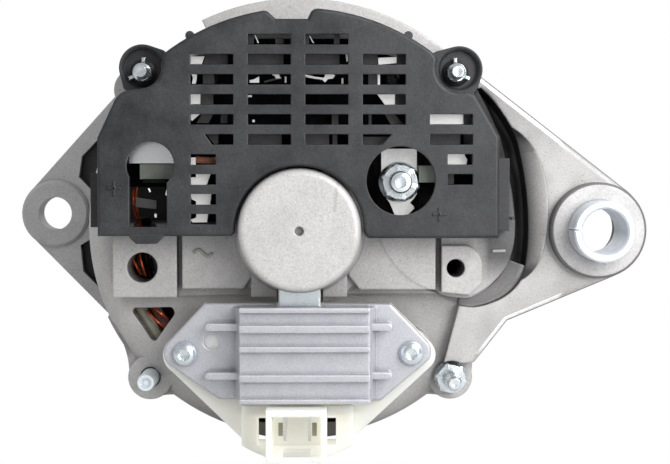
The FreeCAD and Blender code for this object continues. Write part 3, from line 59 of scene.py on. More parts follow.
ROTOR = "rotor"
log = logging.getLogger("alternator")
Point = tuple[float, float]
Place = tuple[float, float, float]
Colour = tuple[float, float, float]
Ring = list[bmesh.types.BMVert]
Tree = bpy.types.NodeTree
Node = bpy.types.Node
Socket = bpy.types.NodeSocket


def at(x: float, depth: float, z: float) -> Vector:
    """A place in metres from millimetres, with the depth counted behind the belt plane."""
    return Vector((x * MM, -depth * MM, z * MM))


def new_object(name: str, data: bpy.types.ID) -> bpy.types.Object:
    """Put an object with its data in the scene.

    Args:
        name: The object's name.
        data: Its mesh, curve, lamp or camera.

    Returns:
        The object.
    """
    made = bpy.data.objects.new(name, data)
    bpy.context.scene.collection.objects.link(made)
    return made


class Lines(Enum):
    """The way in which a tool left its marks on a surface."""

    NONE = 0
    TURNED = 1
    STACKED = 2
    DRAWN = 3


class NodeTree:
    """A node tree with short ways to add and join nodes."""

    def __init__(self, tree: Tree) -> None:
        """Take over a tree.

        Args:
            tree: The shader or geometry tree to fill.
        """
        self.tree = tree

    def add(self, kind: str, settings: Optional[dict] = None, **inputs: object) -> Node:
        """Add one node.

        Args:
            kind: The node's type name.
            settings: Properties of the node itself.
            inputs: Values or output sockets, by input name with underscores for spaces.

        Returns:
            The new node.
        """
        node = self.tree.nodes.new(kind)
        for name, value in (settings or {}).items():
            setattr(node, name, value)
        for name, value in inputs.items():
            key = int(name[1:]) if name[1:].isdigit() and name[0] == "i" else name.replace("_", " ")
            socket = node.inputs[key]
            if isinstance(value, Socket):
                self.tree.links.new(value, socket)
            else:
                socket.default_value = value
        return node

    def join(self, source: Socket, node: Node, name: str) -> None:
        """Link a socket to a node's named input."""
        self.tree.links.new(source, node.inputs[name])

    def maths(self, operation: str, first: object, second: object = 0.0) -> Socket:
        """Join two numbers by one operation and give the result's socket."""
        return self.add("ShaderNodeMath", {"operation": operation}, i0=first, i1=second).outputs[0]

    def plus(self, first: object, second: object) -> Socket:
        """Add two numbers."""
        return self.maths("ADD", first, second)

    def minus(self, first: object, second: object) -> Socket:
        """Take the second number from the first."""
        return self.maths("SUBTRACT", first, second)

    def times(self, *numbers: object) -> Socket:
        """Multiply two or more numbers."""
        return reduce(lambda first, second: self.maths("MULTIPLY", first, second), numbers)

    def over(self, first: object, second: object) -> Socket:
        """Divide the first number by the second."""
        return self.maths("DIVIDE", first, second)

    def larger(self, first: object, second: object) -> Socket:
        """Choose the larger of two numbers."""
        return self.maths("MAXIMUM", first, second)

    def length(self, first: object, second: object) -> Socket:
        """Measure the slanting side over two numbers at a right angle."""
        return self.maths("SQRT", self.plus(self.times(first, first), self.times(second, second)))

    def span(self, value: object, limits: Point, start: object, end: object) -> Socket:
        """Turn a number into another that runs from start to end between two limits, and is held there."""
        return self.add("ShaderNodeMapRange", None, Value=value, From_Min=limits[0], From_Max=limits[1],
                        To_Min=start, To_Max=end).outputs[0]

    def rise(self, value: object, limits: Point) -> Socket:
        """Run from 0 to 1 between two limits."""
        return self.span(value, limits, 0.0, 1.0)

    def fall(self, value: object, limits: Point) -> Socket:
        """Run from 1 to 0 between two limits."""
        return self.span(value, limits, 1.0, 0.0)

    def place(self) -> tuple[Socket, Socket, Socket]:
        """Split up the place of the point that is shaded.

        Returns:
            Its X, depth and Z in millimetres.
        """
        here = self.add("ShaderNodeTexCoord").outputs["Object"]
        x, y, z = self.add("ShaderNodeSeparateXYZ", None, Vector=here).outputs
        return self.over(x, MM), self.over(y, -MM), self.over(z, MM)

    def curve(self, value: object, points: Sequence[Point]) -> Socket:
        """Read a smooth curve.

        Args:
            value: The place along it, from 0 to 1.
            points: What it runs through, all between 0 and 1.

        Returns:
            Its height at that place.
        """
        made = self.add("ShaderNodeFloatCurve", None, Value=value, Factor=1.0)
        line = made.mapping.curves[0]
        line.points[0].location = points[0]
        line.points[1].location = points[-1]
        for point in points[1:-1]:
            line.points.new(*point)
        made.mapping.update()
        return made.outputs["Value"]

    def tinted(self, colour: object, shade: object) -> Socket:
        """Multiply a colour by a grey.

        Args:
            colour: The colour.
            shade: How light the grey is; over 1 makes the colour lighter.

        Returns:
            The new colour.
        """
        grey = self.add("ShaderNodeCombineColor", None, i0=shade, i1=shade, i2=shade).outputs[0]
        return self.add("ShaderNodeMix", {"data_type": "RGBA", "blend_type": "MULTIPLY"}, i0=1.0, i6=colour,
                        i7=grey).outputs[2]


def shader_group(name: str, inputs: dict[str, object], outputs: dict[str, str],
                 fill: Callable[[NodeTree, Node, Node], None]) -> Tree:
    """Build a shader effect that several finishes share.

    Args:
        name: The group's name.
        inputs: Each input's default value; a colour has four numbers.
        outputs: Each output's socket type.
        fill: Adds the nodes between the group's input and output nodes.

    Returns:
        The finished node group.
    """
    tree = bpy.data.node_groups.new(name, "ShaderNodeTree")
    for label, value in inputs.items():
        kind = "NodeSocketColor" if isinstance(value, tuple) else "NodeSocketFloat"
        tree.interface.new_socket(label, in_out="INPUT", socket_type=kind).default_value = value
    for label, kind in outputs.items():
        tree.interface.new_socket(label, in_out="OUTPUT", socket_type=kind)
    nodes = NodeTree(tree)
    fill(nodes, nodes.add("NodeGroupInput"), nodes.add("NodeGroupOutput"))
    return tree


PIT_SCALE = 0.45
PIT_SPREAD = 0.22


def fill_grain(nodes: NodeTree, given: Node, result: Node) -> None:
    """Fine skin: rounded grains with scattered darker pits.

    Args:
        nodes: Takes the nodes.
        given: The group's input node.
        result: The group's output node.
    """
    place = nodes.add("ShaderNodeTexCoord").outputs["Object"]
    size = given.outputs["Size"]
    fine = nodes.add("ShaderNodeTexNoise", None, Vector=place, Detail=2.0, Roughness=0.6,
                     Scale=nodes.over(1.0, size)).outputs["Fac"]
    pits = nodes.add("ShaderNodeTexVoronoi", None, Vector=place, Randomness=1.0,
                     Scale=nodes.over(PIT_SCALE, size)).outputs["Distance"]
    sparse = nodes.add("ShaderNodeTexNoise", None, Vector=place, Detail=1.0,
                       Scale=nodes.over(PIT_SPREAD, size)).outputs["Fac"]
    pit_mask = nodes.times(nodes.fall(pits, (0.05, 0.22)), nodes.rise(sparse, (0.45, 0.6)))
    nodes.join(pit_mask, result, "Pits")
    nodes.join(nodes.minus(fine, nodes.times(pit_mask, 0.8)), result, "Height")


def fill_mottle(nodes: NodeTree, given: Node, result: Node) -> None:
    """Slow colour change from handling, heat and oxide.

    Args:
        nodes: Takes the nodes.
        given: The group's input node.
        result: The group's output node.
    """
    place = nodes.add("ShaderNodeTexCoord").outputs["Object"]
    cloud = nodes.add("ShaderNodeTexNoise", None, Vector=place, Detail=5.0, Roughness=0.62,
                      Scale=nodes.over(1.0, given.outputs["Size"])).outputs["Fac"]
    amount = nodes.rise(cloud, (0.32, 0.68))
    mixed = nodes.add("ShaderNodeMix", {"data_type": "RGBA"}, i0=amount,
                      i6=given.outputs["Base"], i7=given.outputs["Stain"]).outputs[2]
    nodes.join(mixed, result, "Colour")
    nodes.join(amount, result, "Amount")


def fill_tooling(nodes: NodeTree, given: Node, result: Node) -> None:
    """Fine parallel marks: rings round the shaft, sheets along it or strokes across.

    Args:
        nodes: Takes the nodes.
        given: The group's input node.
        result: The group's output node.
    """
    place = nodes.add("ShaderNodeTexCoord").outputs["Object"]
    x, y, z = nodes.add("ShaderNodeSeparateXYZ", None, Vector=place).outputs
    chosen = nodes.plus(nodes.times(nodes.length(x, z), given.outputs["Rings"]),
                        nodes.times(y, given.outputs["Sheets"]))
    chosen = nodes.plus(chosen, nodes.times(x, given.outputs["Strokes"]))
    line = nodes.add("ShaderNodeTexNoise", {"noise_dimensions": "1D"}, Scale=1.0, Detail=3.0, Roughness=0.7,
                     W=nodes.over(chosen, given.outputs["Pitch"])).outputs["Fac"]
    nodes.join(nodes.rise(line, (0.3, 0.7)), result, "Height")


class RearMasks:
    """Masks of the rear casting for painted shade and painted light; every length and height is in
    millimetres.
    """

    centre: Point = (44.0, 5.0)
    turns: Point = (-106.0, 86.0)
    farthest: float = 40.0
    inner_wall: tuple[Point, ...] = (
        (-103.5, 23.5), (-96.6, 24.4), (-82.4, 24.6), (-69.4, 23.1), (-59.7, 21.4), (-49.2, 20.5),
        (-31.6, 17.7), (-13.0, 15.9), (9.4, 15.3), (31.9, 16.3), (49.8, 16.8), (62.1, 18.4), (72.6, 23.6),
        (83.0, 31.5))
    outer_wall: tuple[Point, ...] = (
        (-103.0, 24.4), (-83.0, 27.1), (-65.6, 27.1), (-53.0, 25.9), (-38.4, 23.5), (-18.3, 20.1),
        (2.1, 18.9), (23.0, 20.0), (37.6, 21.3), (48.8, 24.3), (64.4, 28.0), (73.6, 31.9), (81.4, 34.0))
    arm_bevel: Point = (108.5, 109.5)
    flat_centre: Point = (-51.8, -31.0)
    flat_half: Point = (6.8, 1.5)
    flat_lean: Point = (0.52, 0.86)

    def __init__(self, nodes: NodeTree) -> None:
        """Find the point round the channel's centre and round the rotor axis.

        Args:
            nodes: Takes the nodes.
        """
        self.nodes = nodes
        self.x, self.depth, self.z = nodes.place()
        self.aside = nodes.minus(self.x, self.centre[0])
        above = nodes.minus(self.z, self.centre[1])
        low, high = (math.radians(turn) for turn in self.turns)
        self.turn = nodes.rise(nodes.maths("ARCTAN2", above, self.aside), (low, high))
        self.reach = nodes.length(self.aside, above)
        self.outside = nodes.minus(self.reach, self.wall(self.outer_wall))
        self.axial = nodes.length(self.x, self.z)
        normal = nodes.add("ShaderNodeNewGeometry").outputs["Normal"]
        self.facing = nodes.add("ShaderNodeSeparateXYZ", None, Vector=normal).outputs["Y"]

    def wall(self, points: Sequence[Point]) -> Socket:
        """Find how far a wall of the channel is from the channel's centre.

        Args:
            points: Turns in degrees, each with the wall's distance there.

        Returns:
            The distance at the turn of the point that is shaded.
        """
        first, last = self.turns
        scaled = [((turn - first) / (last - first), reach / self.farthest) for turn, reach in points]
        return self.nodes.times(self.nodes.curve(self.turn, scaled), self.farthest)

    def unlit(self) -> Socket:
        """The channel between arm and bowl, and the bowl under the cover.

        Returns:
            1 where hardly any light comes, and else 0.
        """
        nodes = self.nodes
        beyond = nodes.rise(nodes.minus(self.reach, self.wall(self.inner_wall)), (-0.1, 0.3))
        within = nodes.fall(self.outside, (-0.5, 0.4))
        sunk = nodes.larger(nodes.span(self.depth, (109.0, 112.7), 1.0, 0.25),
                            nodes.rise(self.z, (16.0, 20.0)))
        faded = nodes.larger(nodes.rise(self.depth, (103.0, 106.0)),
                             nodes.span(self.z, (-9.0, 6.0), 0.4, 1.0))
        channel = nodes.times(beyond, within, sunk, faded)
        covered = nodes.times(nodes.fall(self.axial, (56.0, 57.5)), nodes.rise(self.axial, (19.0, 20.0)),
                              nodes.rise(self.z, (0.8, 1.8)))
        return nodes.times(nodes.larger(channel, covered), nodes.rise(self.depth, (88.0, 90.0)))

    def cap(self) -> Socket:
        """The flat face of the cap, which gets painted light."""
        nodes = self.nodes
        return nodes.times(nodes.fall(self.axial, (17.0, 18.5)), nodes.rise(self.depth, (130.0, 132.0)))

    def cap_rim(self) -> Socket:
        """The round edge of the cap, with painted shade a little darker than its face."""
        nodes = self.nodes
        return nodes.times(nodes.span(self.axial, (17.2, 18.6), 0.0, 0.3),
                           nodes.fall(self.axial, (19.8, 20.4)), nodes.rise(self.depth, (128.0, 130.0)))

    def arm(self) -> Socket:
        """Painted shade on the arm: dark beside the channel, darker towards both ends, on its bevels and on
        its sides.

        Returns:
            How much darker it is there.
        """
        nodes = self.nodes
        beside = nodes.larger(nodes.span(self.outside, (0.3, 3.0), 0.8, 0.0),
                              nodes.span(self.outside, (4.5, 10.0), 0.32, 0.0))
        beside = nodes.times(beside, nodes.rise(self.z, (-18.0, -8.0)))
        ends = nodes.plus(nodes.span(self.z, (10.0, 32.0), 0.0, 0.45),
                          nodes.span(self.z, (-30.0, -14.0), 0.2, 0.0))
        ends = nodes.times(ends, nodes.rise(self.depth, (96.0, 99.0)))
        bevels = nodes.times(nodes.span(self.facing, (-0.97, -0.85), 0.0, 0.62),
                             nodes.rise(self.depth, self.arm_bevel))
        sides = nodes.larger(bevels, nodes.span(self.facing, (-0.7, -0.5), 0.0, 0.7))
        sides = nodes.times(sides, nodes.rise(self.x, (40.0, 44.0)))
        return nodes.larger(beside, nodes.larger(ends, sides))

    def slope(self) -> Socket:
        """The slanting strip between the channel and the arm's face.

        Returns:
            1 on the strip, and else 0.
        """
        nodes = self.nodes
        slanting = nodes.times(nodes.rise(self.facing, (-0.995, -0.985)),
                               nodes.fall(self.facing, (-0.75, -0.6)))
        return nodes.times(slanting, nodes.fall(self.outside, (13.0, 14.0)),
                           nodes.fall(self.depth, self.arm_bevel))

    def shaded_flat(self) -> Socket:
        """Painted shade on the lens-shaped flat on the lower left rim.

        Returns:
            How much darker it is there.
        """
        nodes = self.nodes
        aside = nodes.minus(self.x, self.flat_centre[0])
        above = nodes.minus(self.z, self.flat_centre[1])
        (long_half, short_half), (sine, cosine) = self.flat_half, self.flat_lean
        along = nodes.plus(nodes.times(aside, sine / long_half), nodes.times(above, -cosine / long_half))
        across = nodes.plus(nodes.times(aside, cosine / short_half), nodes.times(above, sine / short_half))
        return nodes.span(nodes.length(along, across), (0.85, 1.1), 0.4, 0.0)

    def shade(self) -> Socket:
        """Join the painted shade of the arm, the flat and the cap's rim, with painted shade and light across
        the slanting strip.

        Returns:
            How much darker they are; below 0 is lighter.
        """
        nodes = self.nodes
        slope_light_and_shade = nodes.span(self.depth, (104.3, 107.9), 0.55, -0.8)
        arm = nodes.add("ShaderNodeMix", None, i0=self.slope(), i2=self.arm(), i3=slope_light_and_shade).outputs[0]
        arm = nodes.times(arm, nodes.rise(self.aside, (4.0, 8.0)), nodes.fall(self.depth, (113.5, 116.0)))
        return nodes.plus(nodes.plus(arm, self.shaded_flat()), self.cap_rim())


def fill_rear(nodes: NodeTree, given: Node, result: Node) -> None:
    """Where the rear casting is unlit, where its cap gets painted light and how much painted shade the rest
    gets.

    Args:
        nodes: Takes the nodes.
        given: The group's input node; not used.
        result: The group's output node.
    """
    masks = RearMasks(nodes)
    nodes.join(masks.unlit(), result, "Mask")
    nodes.join(masks.cap(), result, "Cap")
    nodes.join(masks.shade(), result, "Shade")


POCKETS: tuple[tuple[float, ...], ...] = ((-63.0, 18.5, 9.0, 12.0), (-63.0, -13.0, 9.0, 12.0))


def fill_pockets(nodes: NodeTree, given: Node, result: Node) -> None:
    """The sunk fields of the front casting that lie in the shade of the adjusting lug.

    Args:
        nodes: Takes the nodes.
        given: The group's input node; not used.
        result: The group's output node.
    """
    x, depth, z = nodes.place()
    mask: object = 0.0
    for middle, height, half_width, half_height in POCKETS:
        aside = nodes.over(nodes.minus(x, middle), half_width)
        above = nodes.over(nodes.minus(z, height), half_height)
        squares = nodes.plus(nodes.times(aside, aside), nodes.times(above, above))
        mask = nodes.larger(mask, nodes.fall(squares, (0.8, 1.15)))
    floor = nodes.times(nodes.fall(depth, (44.0, 44.5)), nodes.rise(depth, (38.8, 39.5)))
    nodes.join(nodes.times(mask, floor), result, "Mask")


FLOAT = "NodeSocketFloat"
POCKET = shader_group("front_pockets", {}, {"Mask": FLOAT}, fill_pockets)
HOLLOW = shader_group("rear_shade", {}, {"Mask": FLOAT, "Cap": FLOAT, "Shade": FLOAT}, fill_rear)
GRAIN = shader_group("skin_grain", {"Size": 0.0004}, {"Height": FLOAT, "Pits": FLOAT}, fill_grain)
MOTTLE = shader_group("slow_mottle", {"Size": 0.02, "Base": (0.7, 0.7, 0.7, 1.0),
                                      "Stain": (0.5, 0.5, 0.5, 1.0)},
                      {"Colour": "NodeSocketColor", "Amount": FLOAT}, fill_mottle)
TOOLING = shader_group("tool_marks", {"Pitch": 0.0002, "Rings": 1.0, "Sheets": 0.0, "Strokes": 0.0},
                       {"Height": FLOAT}, fill_tooling)


# How much lighter the cap's face is: painted light.
CAP_PAINTED_LIGHT = 1.06
# Reach and colour of the painted light in hollows.
PAINTED_GLOW_REACH = 14.0
PAINTED_GLOW_COLOUR = (0.93, 0.92, 0.84, 1.0)


@dataclass(frozen=True)
class Finish:
    """One surface finish; every length is in millimetres.

    Attributes:
        name: The material's name.
        slot: The record's material slot that it belongs to.
        base: Main colour.
        stain: Colour of its slow mottling.
        pit: Colour inside the small pits of its skin.
        metallic: How much of a metal it is.
        roughness: Middle roughness.
        spread: How far the roughness wanders each way.
        grain: Size of the skin's grains.
        relief: Height of the grains.
        mottle: Size of the mottling.
        lines: The tool marks on it.
        pitch: Distance between tool marks.
        groove: Depth of tool marks.
        coat: Weight of a clear skin on top.
        pitting: How strongly the pits show.
        edge: Radius that light sees on its edges.
        corner_shade: Painted shade: how much darker its deep corners and recesses are.
        reach: How far from a corner that goes.
        speckle: How much the grains differ in tone.
        hollow: Darkness of the places of the rear casting that see no light.
        pockets: Painted shade on the sunk fields of the front casting.
        edge_wear_and_highlight: How much lighter its edges are, from rubbed wear and painted highlight.
        gloss: Strength of the mirror part of what isn't metal.
        glow: Painted light in its hollows, an emission standing in for light that reaches them.
        glow_top: Height above which there is no such light.
        glow_all: The part of that light that shows everywhere.
        depth: Weight and reach of the light that goes under the skin.
    """

    name: str
    slot: str
    base: Colour
    stain: Colour
    pit: Colour
    metallic: float
    roughness: float
    spread: float = 0.08
    grain: float = 0.4
    relief: float = 0.03
    mottle: float = 18.0
    lines: Lines = Lines.NONE
    pitch: float = 0.2
    groove: float = 0.01
    coat: float = 0.0
    pitting: float = 0.5
    edge: float = 0.15
    corner_shade: float = 0.0
    reach: float = 7.0
    speckle: float = 0.0
    hollow: float = 0.0
    pockets: float = 0.0
    edge_wear_and_highlight: float = 0.0
    gloss: float = 0.5
    glow: float = 0.0
    glow_top: float = 100.0
    glow_all: float = 0.0
    depth: Point = (0.0, 0.0)

    def material(self) -> bpy.types.Material:
        """Build the finish's material at its first use.

        Returns:
            The material, which all later uses share.
        """
        ready = bpy.data.materials.get(self.name)
        if ready is not None:
            return ready
        made = bpy.data.materials.new(self.name)
        made.use_nodes = True
        made.node_tree.nodes.clear()
        nodes = NodeTree(made.node_tree)
        grain = nodes.add("ShaderNodeGroup", {"node_tree": GRAIN}, Size=self.grain * MM)
        mottle = nodes.add("ShaderNodeGroup", {"node_tree": MOTTLE}, Size=self.mottle * MM,
                           Base=(*self.base, 1.0), Stain=(*self.stain, 1.0))
        rounded = nodes.add("ShaderNodeBevel", {"samples": 6}, Radius=self.edge * MM).outputs["Normal"]
        rough = nodes.span(mottle.outputs["Amount"], (0.0, 1.0), self.roughness - self.spread,
                           self.roughness + self.spread)
        surface = nodes.add("ShaderNodeBsdfPrincipled", None, Roughness=rough, Metallic=self.metallic,
                            Base_Color=self.colour(nodes, grain, mottle, rounded),
                            Normal=self.normal(nodes, grain, rounded))
        weight, far = self.depth
        for name, value in {"Specular IOR Level": self.gloss, "Subsurface Weight": weight,
                            "Subsurface Radius": (1.0, 0.9, 0.7), "Subsurface Scale": far * MM,
                            "Coat Weight": self.coat, "Coat Roughness": 0.2}.items():
            surface.inputs[name].default_value = value
        if self.glow > 0.0:
            self.paint_light_in_hollows(nodes, surface)
        nodes.add("ShaderNodeOutputMaterial", None, Surface=surface.outputs["BSDF"])
        return made

    def colour(self, nodes: NodeTree, grain: Node, mottle: Node,
               rounded: Socket) -> Socket:
        """Lay pits, painted shade in corners, speckle, the castings' painted shade and light, and edge wear
        with painted highlight over the mottled colour.

        Args:
            nodes: Takes the nodes.
            grain: The skin's grains and pits.
            mottle: The slow change of colour.
            rounded: The normal with softened edges.

        Returns:
            The colour's socket.
        """
        colour = nodes.add("ShaderNodeMix", {"data_type": "RGBA"}, i6=mottle.outputs["Colour"],
                           i0=nodes.times(grain.outputs["Pits"], self.pitting),
                           i7=(*self.pit, 1.0)).outputs[2]
        # Painted shade in corners and recesses, from ambient occlusion.
        if self.corner_shade > 0.0:
            sky = nodes.add("ShaderNodeAmbientOcclusion", {"samples": 6}, Distance=self.reach * MM)
            colour = nodes.tinted(colour, nodes.span(sky.outputs["AO"], (0.15, 0.85), 1.0 - self.corner_shade, 1.0))
        if self.speckle > 0.0:
            colour = nodes.tinted(colour, nodes.span(grain.outputs["Height"], (0.3, 0.7), 1.0 - self.speckle,
                                                     1.0 + self.speckle))
        # Painted shade where the rear casting gets no light, painted light on its cap, and painted shade and
        # light on its arm, flat and cap rim.
        if self.hollow > 0.0:
            masks = nodes.add("ShaderNodeGroup", {"node_tree": HOLLOW}).outputs
            colour = nodes.tinted(colour, nodes.span(masks["Mask"], (0.0, 1.0), 1.0, 1.0 - self.hollow))
            colour = nodes.tinted(colour, nodes.span(masks["Cap"], (0.0, 1.0), 1.0, CAP_PAINTED_LIGHT))
            colour = nodes.tinted(colour, nodes.minus(1.0, masks["Shade"]))
        # Painted shade on the front casting's sunk fields.
        if self.pockets > 0.0:
            sunk = nodes.add("ShaderNodeGroup", {"node_tree": POCKET}).outputs["Mask"]
            colour = nodes.tinted(colour, nodes.span(sunk, (0.0, 1.0), 1.0, 1.0 - self.pockets))
        # Lighter edges: rubbed wear and painted highlight.
        if self.edge_wear_and_highlight > 0.0:
            flat = nodes.add("ShaderNodeNewGeometry").outputs["Normal"]
            lean = nodes.add("ShaderNodeVectorMath", {"operation": "DOT_PRODUCT"}, i0=rounded, i1=flat)
            worn = nodes.span(lean.outputs["Value"], (0.80, 0.97), 1.0 + self.edge_wear_and_highlight, 1.0)
            colour = nodes.tinted(colour, worn)
        return colour

    def normal(self, nodes: NodeTree, grain: Node,
               rounded: Socket) -> Socket:
        """Raise the grains, and cut the tool marks if there are any.

        Args:
            nodes: Takes the nodes.
            grain: The skin's grains and pits.
            rounded: The normal with softened edges.

        Returns:
            The normal's socket.
        """
        normal = nodes.add("ShaderNodeBump", None, Height=grain.outputs["Height"], Distance=self.relief * MM,
                           Strength=0.9, Normal=rounded).outputs["Normal"]
        if self.lines is Lines.NONE:
            return normal
        marks = nodes.add("ShaderNodeGroup", {"node_tree": TOOLING}, Pitch=self.pitch * MM,
                          Rings=float(self.lines is Lines.TURNED), Sheets=float(self.lines is Lines.STACKED),
                          Strokes=float(self.lines is Lines.DRAWN)).outputs["Height"]
        return nodes.add("ShaderNodeBump", None, Height=marks, Distance=self.groove * MM, Strength=0.8,
                         Normal=normal).outputs["Normal"]

    def paint_light_in_hollows(self, nodes: NodeTree, surface: Node) -> None:
        """Paint light into the hollows below a height, as an emission.

        Args:
            nodes: Takes the nodes.
            surface: The surface that gives the light.
        """
        shut = nodes.add("ShaderNodeAmbientOcclusion", {"samples": 6}, Distance=PAINTED_GLOW_REACH * MM).outputs["AO"]
        height = nodes.place()[2]
        low = nodes.fall(height, (self.glow_top - 1.0, self.glow_top))
        lit = nodes.plus(nodes.times(nodes.span(shut, (0.05, 0.6), self.glow, 0.0), low), self.glow_all)
        nodes.join(lit, surface, "Emission Strength")
        surface.inputs["Emission Color"].default_value = PAINTED_GLOW_COLOUR


CAST = Finish("cast_aluminium", "cast_aluminium", (0.50, 0.492, 0.488), (0.42, 0.413, 0.41),
              (0.24, 0.237, 0.235), 0.35, 0.5, grain=0.45, relief=0.05, mottle=12.0, pitting=0.7,
              edge=0.8, corner_shade=0.4, reach=10.0, speckle=0.12, edge_wear_and_highlight=0.1)
REAR_CAST = replace(CAST, name="rear_casting", hollow=0.93)
# The front casting is a darker copy of the cast finish: painted shade, with painted shade on its sunk fields.
FRONT_CAST = replace(CAST, name="front_casting", base=(0.43, 0.425, 0.425), stain=(0.37, 0.366, 0.366),
                     edge=0.3, corner_shade=0.35, pockets=0.85, edge_wear_and_highlight=0.0)
# The raised marks get a darker copy of the cast finish: painted shade.
SIGN = replace(CAST, name="raised_sign", edge_wear_and_highlight=0.0, base=(0.36, 0.357, 0.35), stain=(0.31, 0.307, 0.30))
DIE_CAST = Finish("regulator_casting", "regulator_aluminium", (0.53, 0.537, 0.566), (0.46, 0.469, 0.51),
                  (0.31, 0.32, 0.35), 0.55, 0.42, grain=0.5, relief=0.03, mottle=5.0, pitting=0.3,
                  edge=0.8, corner_shade=0.8, reach=1.6, speckle=0.1, edge_wear_and_highlight=0.7)
PLATE = Finish("rolled_aluminium", "plate_aluminium", (0.84, 0.85, 0.86), (0.74, 0.75, 0.77),
               (0.5, 0.5, 0.5), 0.9, 0.25, grain=0.3, relief=0.004, lines=Lines.DRAWN, pitch=0.15,
               groove=0.004, pitting=0.1)
COVER = Finish("cover_moulding", "black_plastic", (0.0115, 0.0125, 0.015), (0.031, 0.032, 0.0345),
               (0.085, 0.085, 0.09), 0.0, 0.5, grain=0.6, relief=0.04, mottle=9.0, pitting=0.6, edge=0.5,
               speckle=0.25, edge_wear_and_highlight=1.2)
BLACK = Finish("black_moulding", "black_plastic", (0.03, 0.03, 0.032), (0.04, 0.04, 0.042),
               (0.02, 0.02, 0.02), 0.0, 0.45, grain=0.3, relief=0.01, pitting=0.2)
# Its glow, low in the socket and a little everywhere, is painted light standing in for light through the
# plastic's walls.
CREAM = Finish("cream_moulding", "cream_plastic", (0.67, 0.67, 0.625), (0.65, 0.65, 0.60),
               (0.59, 0.58, 0.52), 0.0, 0.38, grain=0.9, relief=0.006, mottle=12.0, pitting=0.1,
               coat=0.15, edge=0.3, glow=0.36, glow_top=-49.5, glow_all=0.09, depth=(0.9, 10.0))
BOARD = Finish("board_moulding", "board_plastic", (0.15, 0.17, 0.145), (0.09, 0.10, 0.085),
               (0.07, 0.08, 0.07), 0.0, 0.45, grain=0.6, relief=0.01, pitting=0.3)
ZINC = Finish("bright_zinc", "zinc_steel", (0.82, 0.88, 0.92), (0.72, 0.78, 0.83), (0.5, 0.55, 0.6), 0.9,
              0.24, spread=0.06, grain=0.35, relief=0.006, mottle=3.0, pitting=0.2)
BUSH = replace(ZINC, name="bush_zinc", base=(0.80, 0.84, 0.90), stain=(0.70, 0.74, 0.80), metallic=0.6,
               roughness=0.4)
STEEL = Finish("turned_steel", "turned_steel", (0.60, 0.60, 0.61), (0.52, 0.52, 0.53), (0.36, 0.35, 0.34),
               1.0, 0.28, grain=0.3, relief=0.004, lines=Lines.TURNED, pitch=0.18, groove=0.006,
               pitting=0.2)
GROUND = Finish("ground_steel", "bearing_steel", (0.70, 0.71, 0.73), (0.64, 0.65, 0.67), (0.5, 0.5, 0.5),
                1.0, 0.16, spread=0.04, grain=0.2, relief=0.002, pitting=0.05)
CORE = Finish("lamination_edges", "core_steel", (0.30, 0.30, 0.30), (0.22, 0.20, 0.18),
              (0.13, 0.10, 0.08), 0.9, 0.42, grain=0.4, relief=0.01, lines=Lines.STACKED, pitch=0.5,
              groove=0.12, pitting=0.6)
IRON = Finish("forged_iron", "pole_iron", (0.20, 0.20, 0.21), (0.26, 0.25, 0.25), (0.10, 0.09, 0.08), 0.8,
              0.48, grain=0.5, relief=0.03, lines=Lines.TURNED, pitch=0.4, groove=0.01, pitting=0.5)
ENAMEL = Finish("wire_enamel", "copper_enamel", (0.14, 0.022, 0.010), (0.09, 0.014, 0.007),
                (0.05, 0.01, 0.005), 0.4, 0.25, grain=0.6, relief=0.008, mottle=4.0, pitting=0.3,
                coat=0.3)
COPPER = Finish("ring_copper", "ring_copper", (0.78, 0.42, 0.27), (0.62, 0.31, 0.19), (0.30, 0.15, 0.1),
                1.0, 0.25, grain=0.2, relief=0.003, lines=Lines.TURNED, pitch=0.12, groove=0.005,
                pitting=0.2)
TINNED = Finish("tinned_brass", "plated_metal", (0.78, 0.78, 0.75), (0.70, 0.69, 0.64), (0.5, 0.47, 0.4),
                1.0, 0.27, grain=0.3, relief=0.004, mottle=4.0, lines=Lines.DRAWN, pitch=0.1,
                groove=0.003, pitting=0.2)
CARBON = Finish("pressed_carbon", "brush_carbon", (0.05, 0.05, 0.052), (0.08, 0.07, 0.065),
                (0.02, 0.02, 0.02), 0.2, 0.5, grain=0.2, relief=0.01, pitting=0.4)
BLACK_OXIDE = Finish("black_oxide_steel", "zinc_steel", (0.05, 0.052, 0.05), (0.08, 0.082, 0.08),
                     (0.03, 0.03, 0.03), 0.7, 0.42, grain=0.3, relief=0.008, pitting=0.3)
SLEEVE = Finish("woven_sleeve", "cream_plastic", (0.46, 0.44, 0.36), (0.36, 0.34, 0.27),
                (0.2, 0.19, 0.15), 0.0, 0.6, grain=0.5, relief=0.05, mottle=3.0, pitting=0.5)
STRAND = Finish("bare_strand", "copper_enamel", (0.70, 0.12, 0.03), (0.50, 0.06, 0.02), (0.2, 0.03, 0.02),
                0.5, 0.25, grain=0.4, relief=0.006, mottle=2.0, pitting=0.3, coat=0.5)
LACQUER = replace(STRAND, name="dull_lacquer", base=(0.42, 0.19, 0.12), stain=(0.36, 0.15, 0.10),
                  metallic=0.0)
BOLT_END = replace(ZINC, name="plain_bolt", metallic=0.4, roughness=0.35)
# The output strip's finish, lifted by a glow: painted light.
STRIP = replace(PLATE, name="terminal_strip", base=(0.97, 0.97, 0.97), stain=(0.75, 0.75, 0.77),
                metallic=0.1, mottle=3.0, glow=0.4)
# A near white strap finish with a glow, for sheets shaped after lit patches under the slots: painted light.
STRAP = Finish("bright_strap", "plate_aluminium", (0.98, 0.98, 0.98), (0.78, 0.78, 0.80), (0.6, 0.6, 0.6),
               0.0, 0.35, grain=0.3, relief=0.01, mottle=3.5, lines=Lines.DRAWN, pitch=0.5, groove=0.02,
               pitting=0.2, glow=0.22)
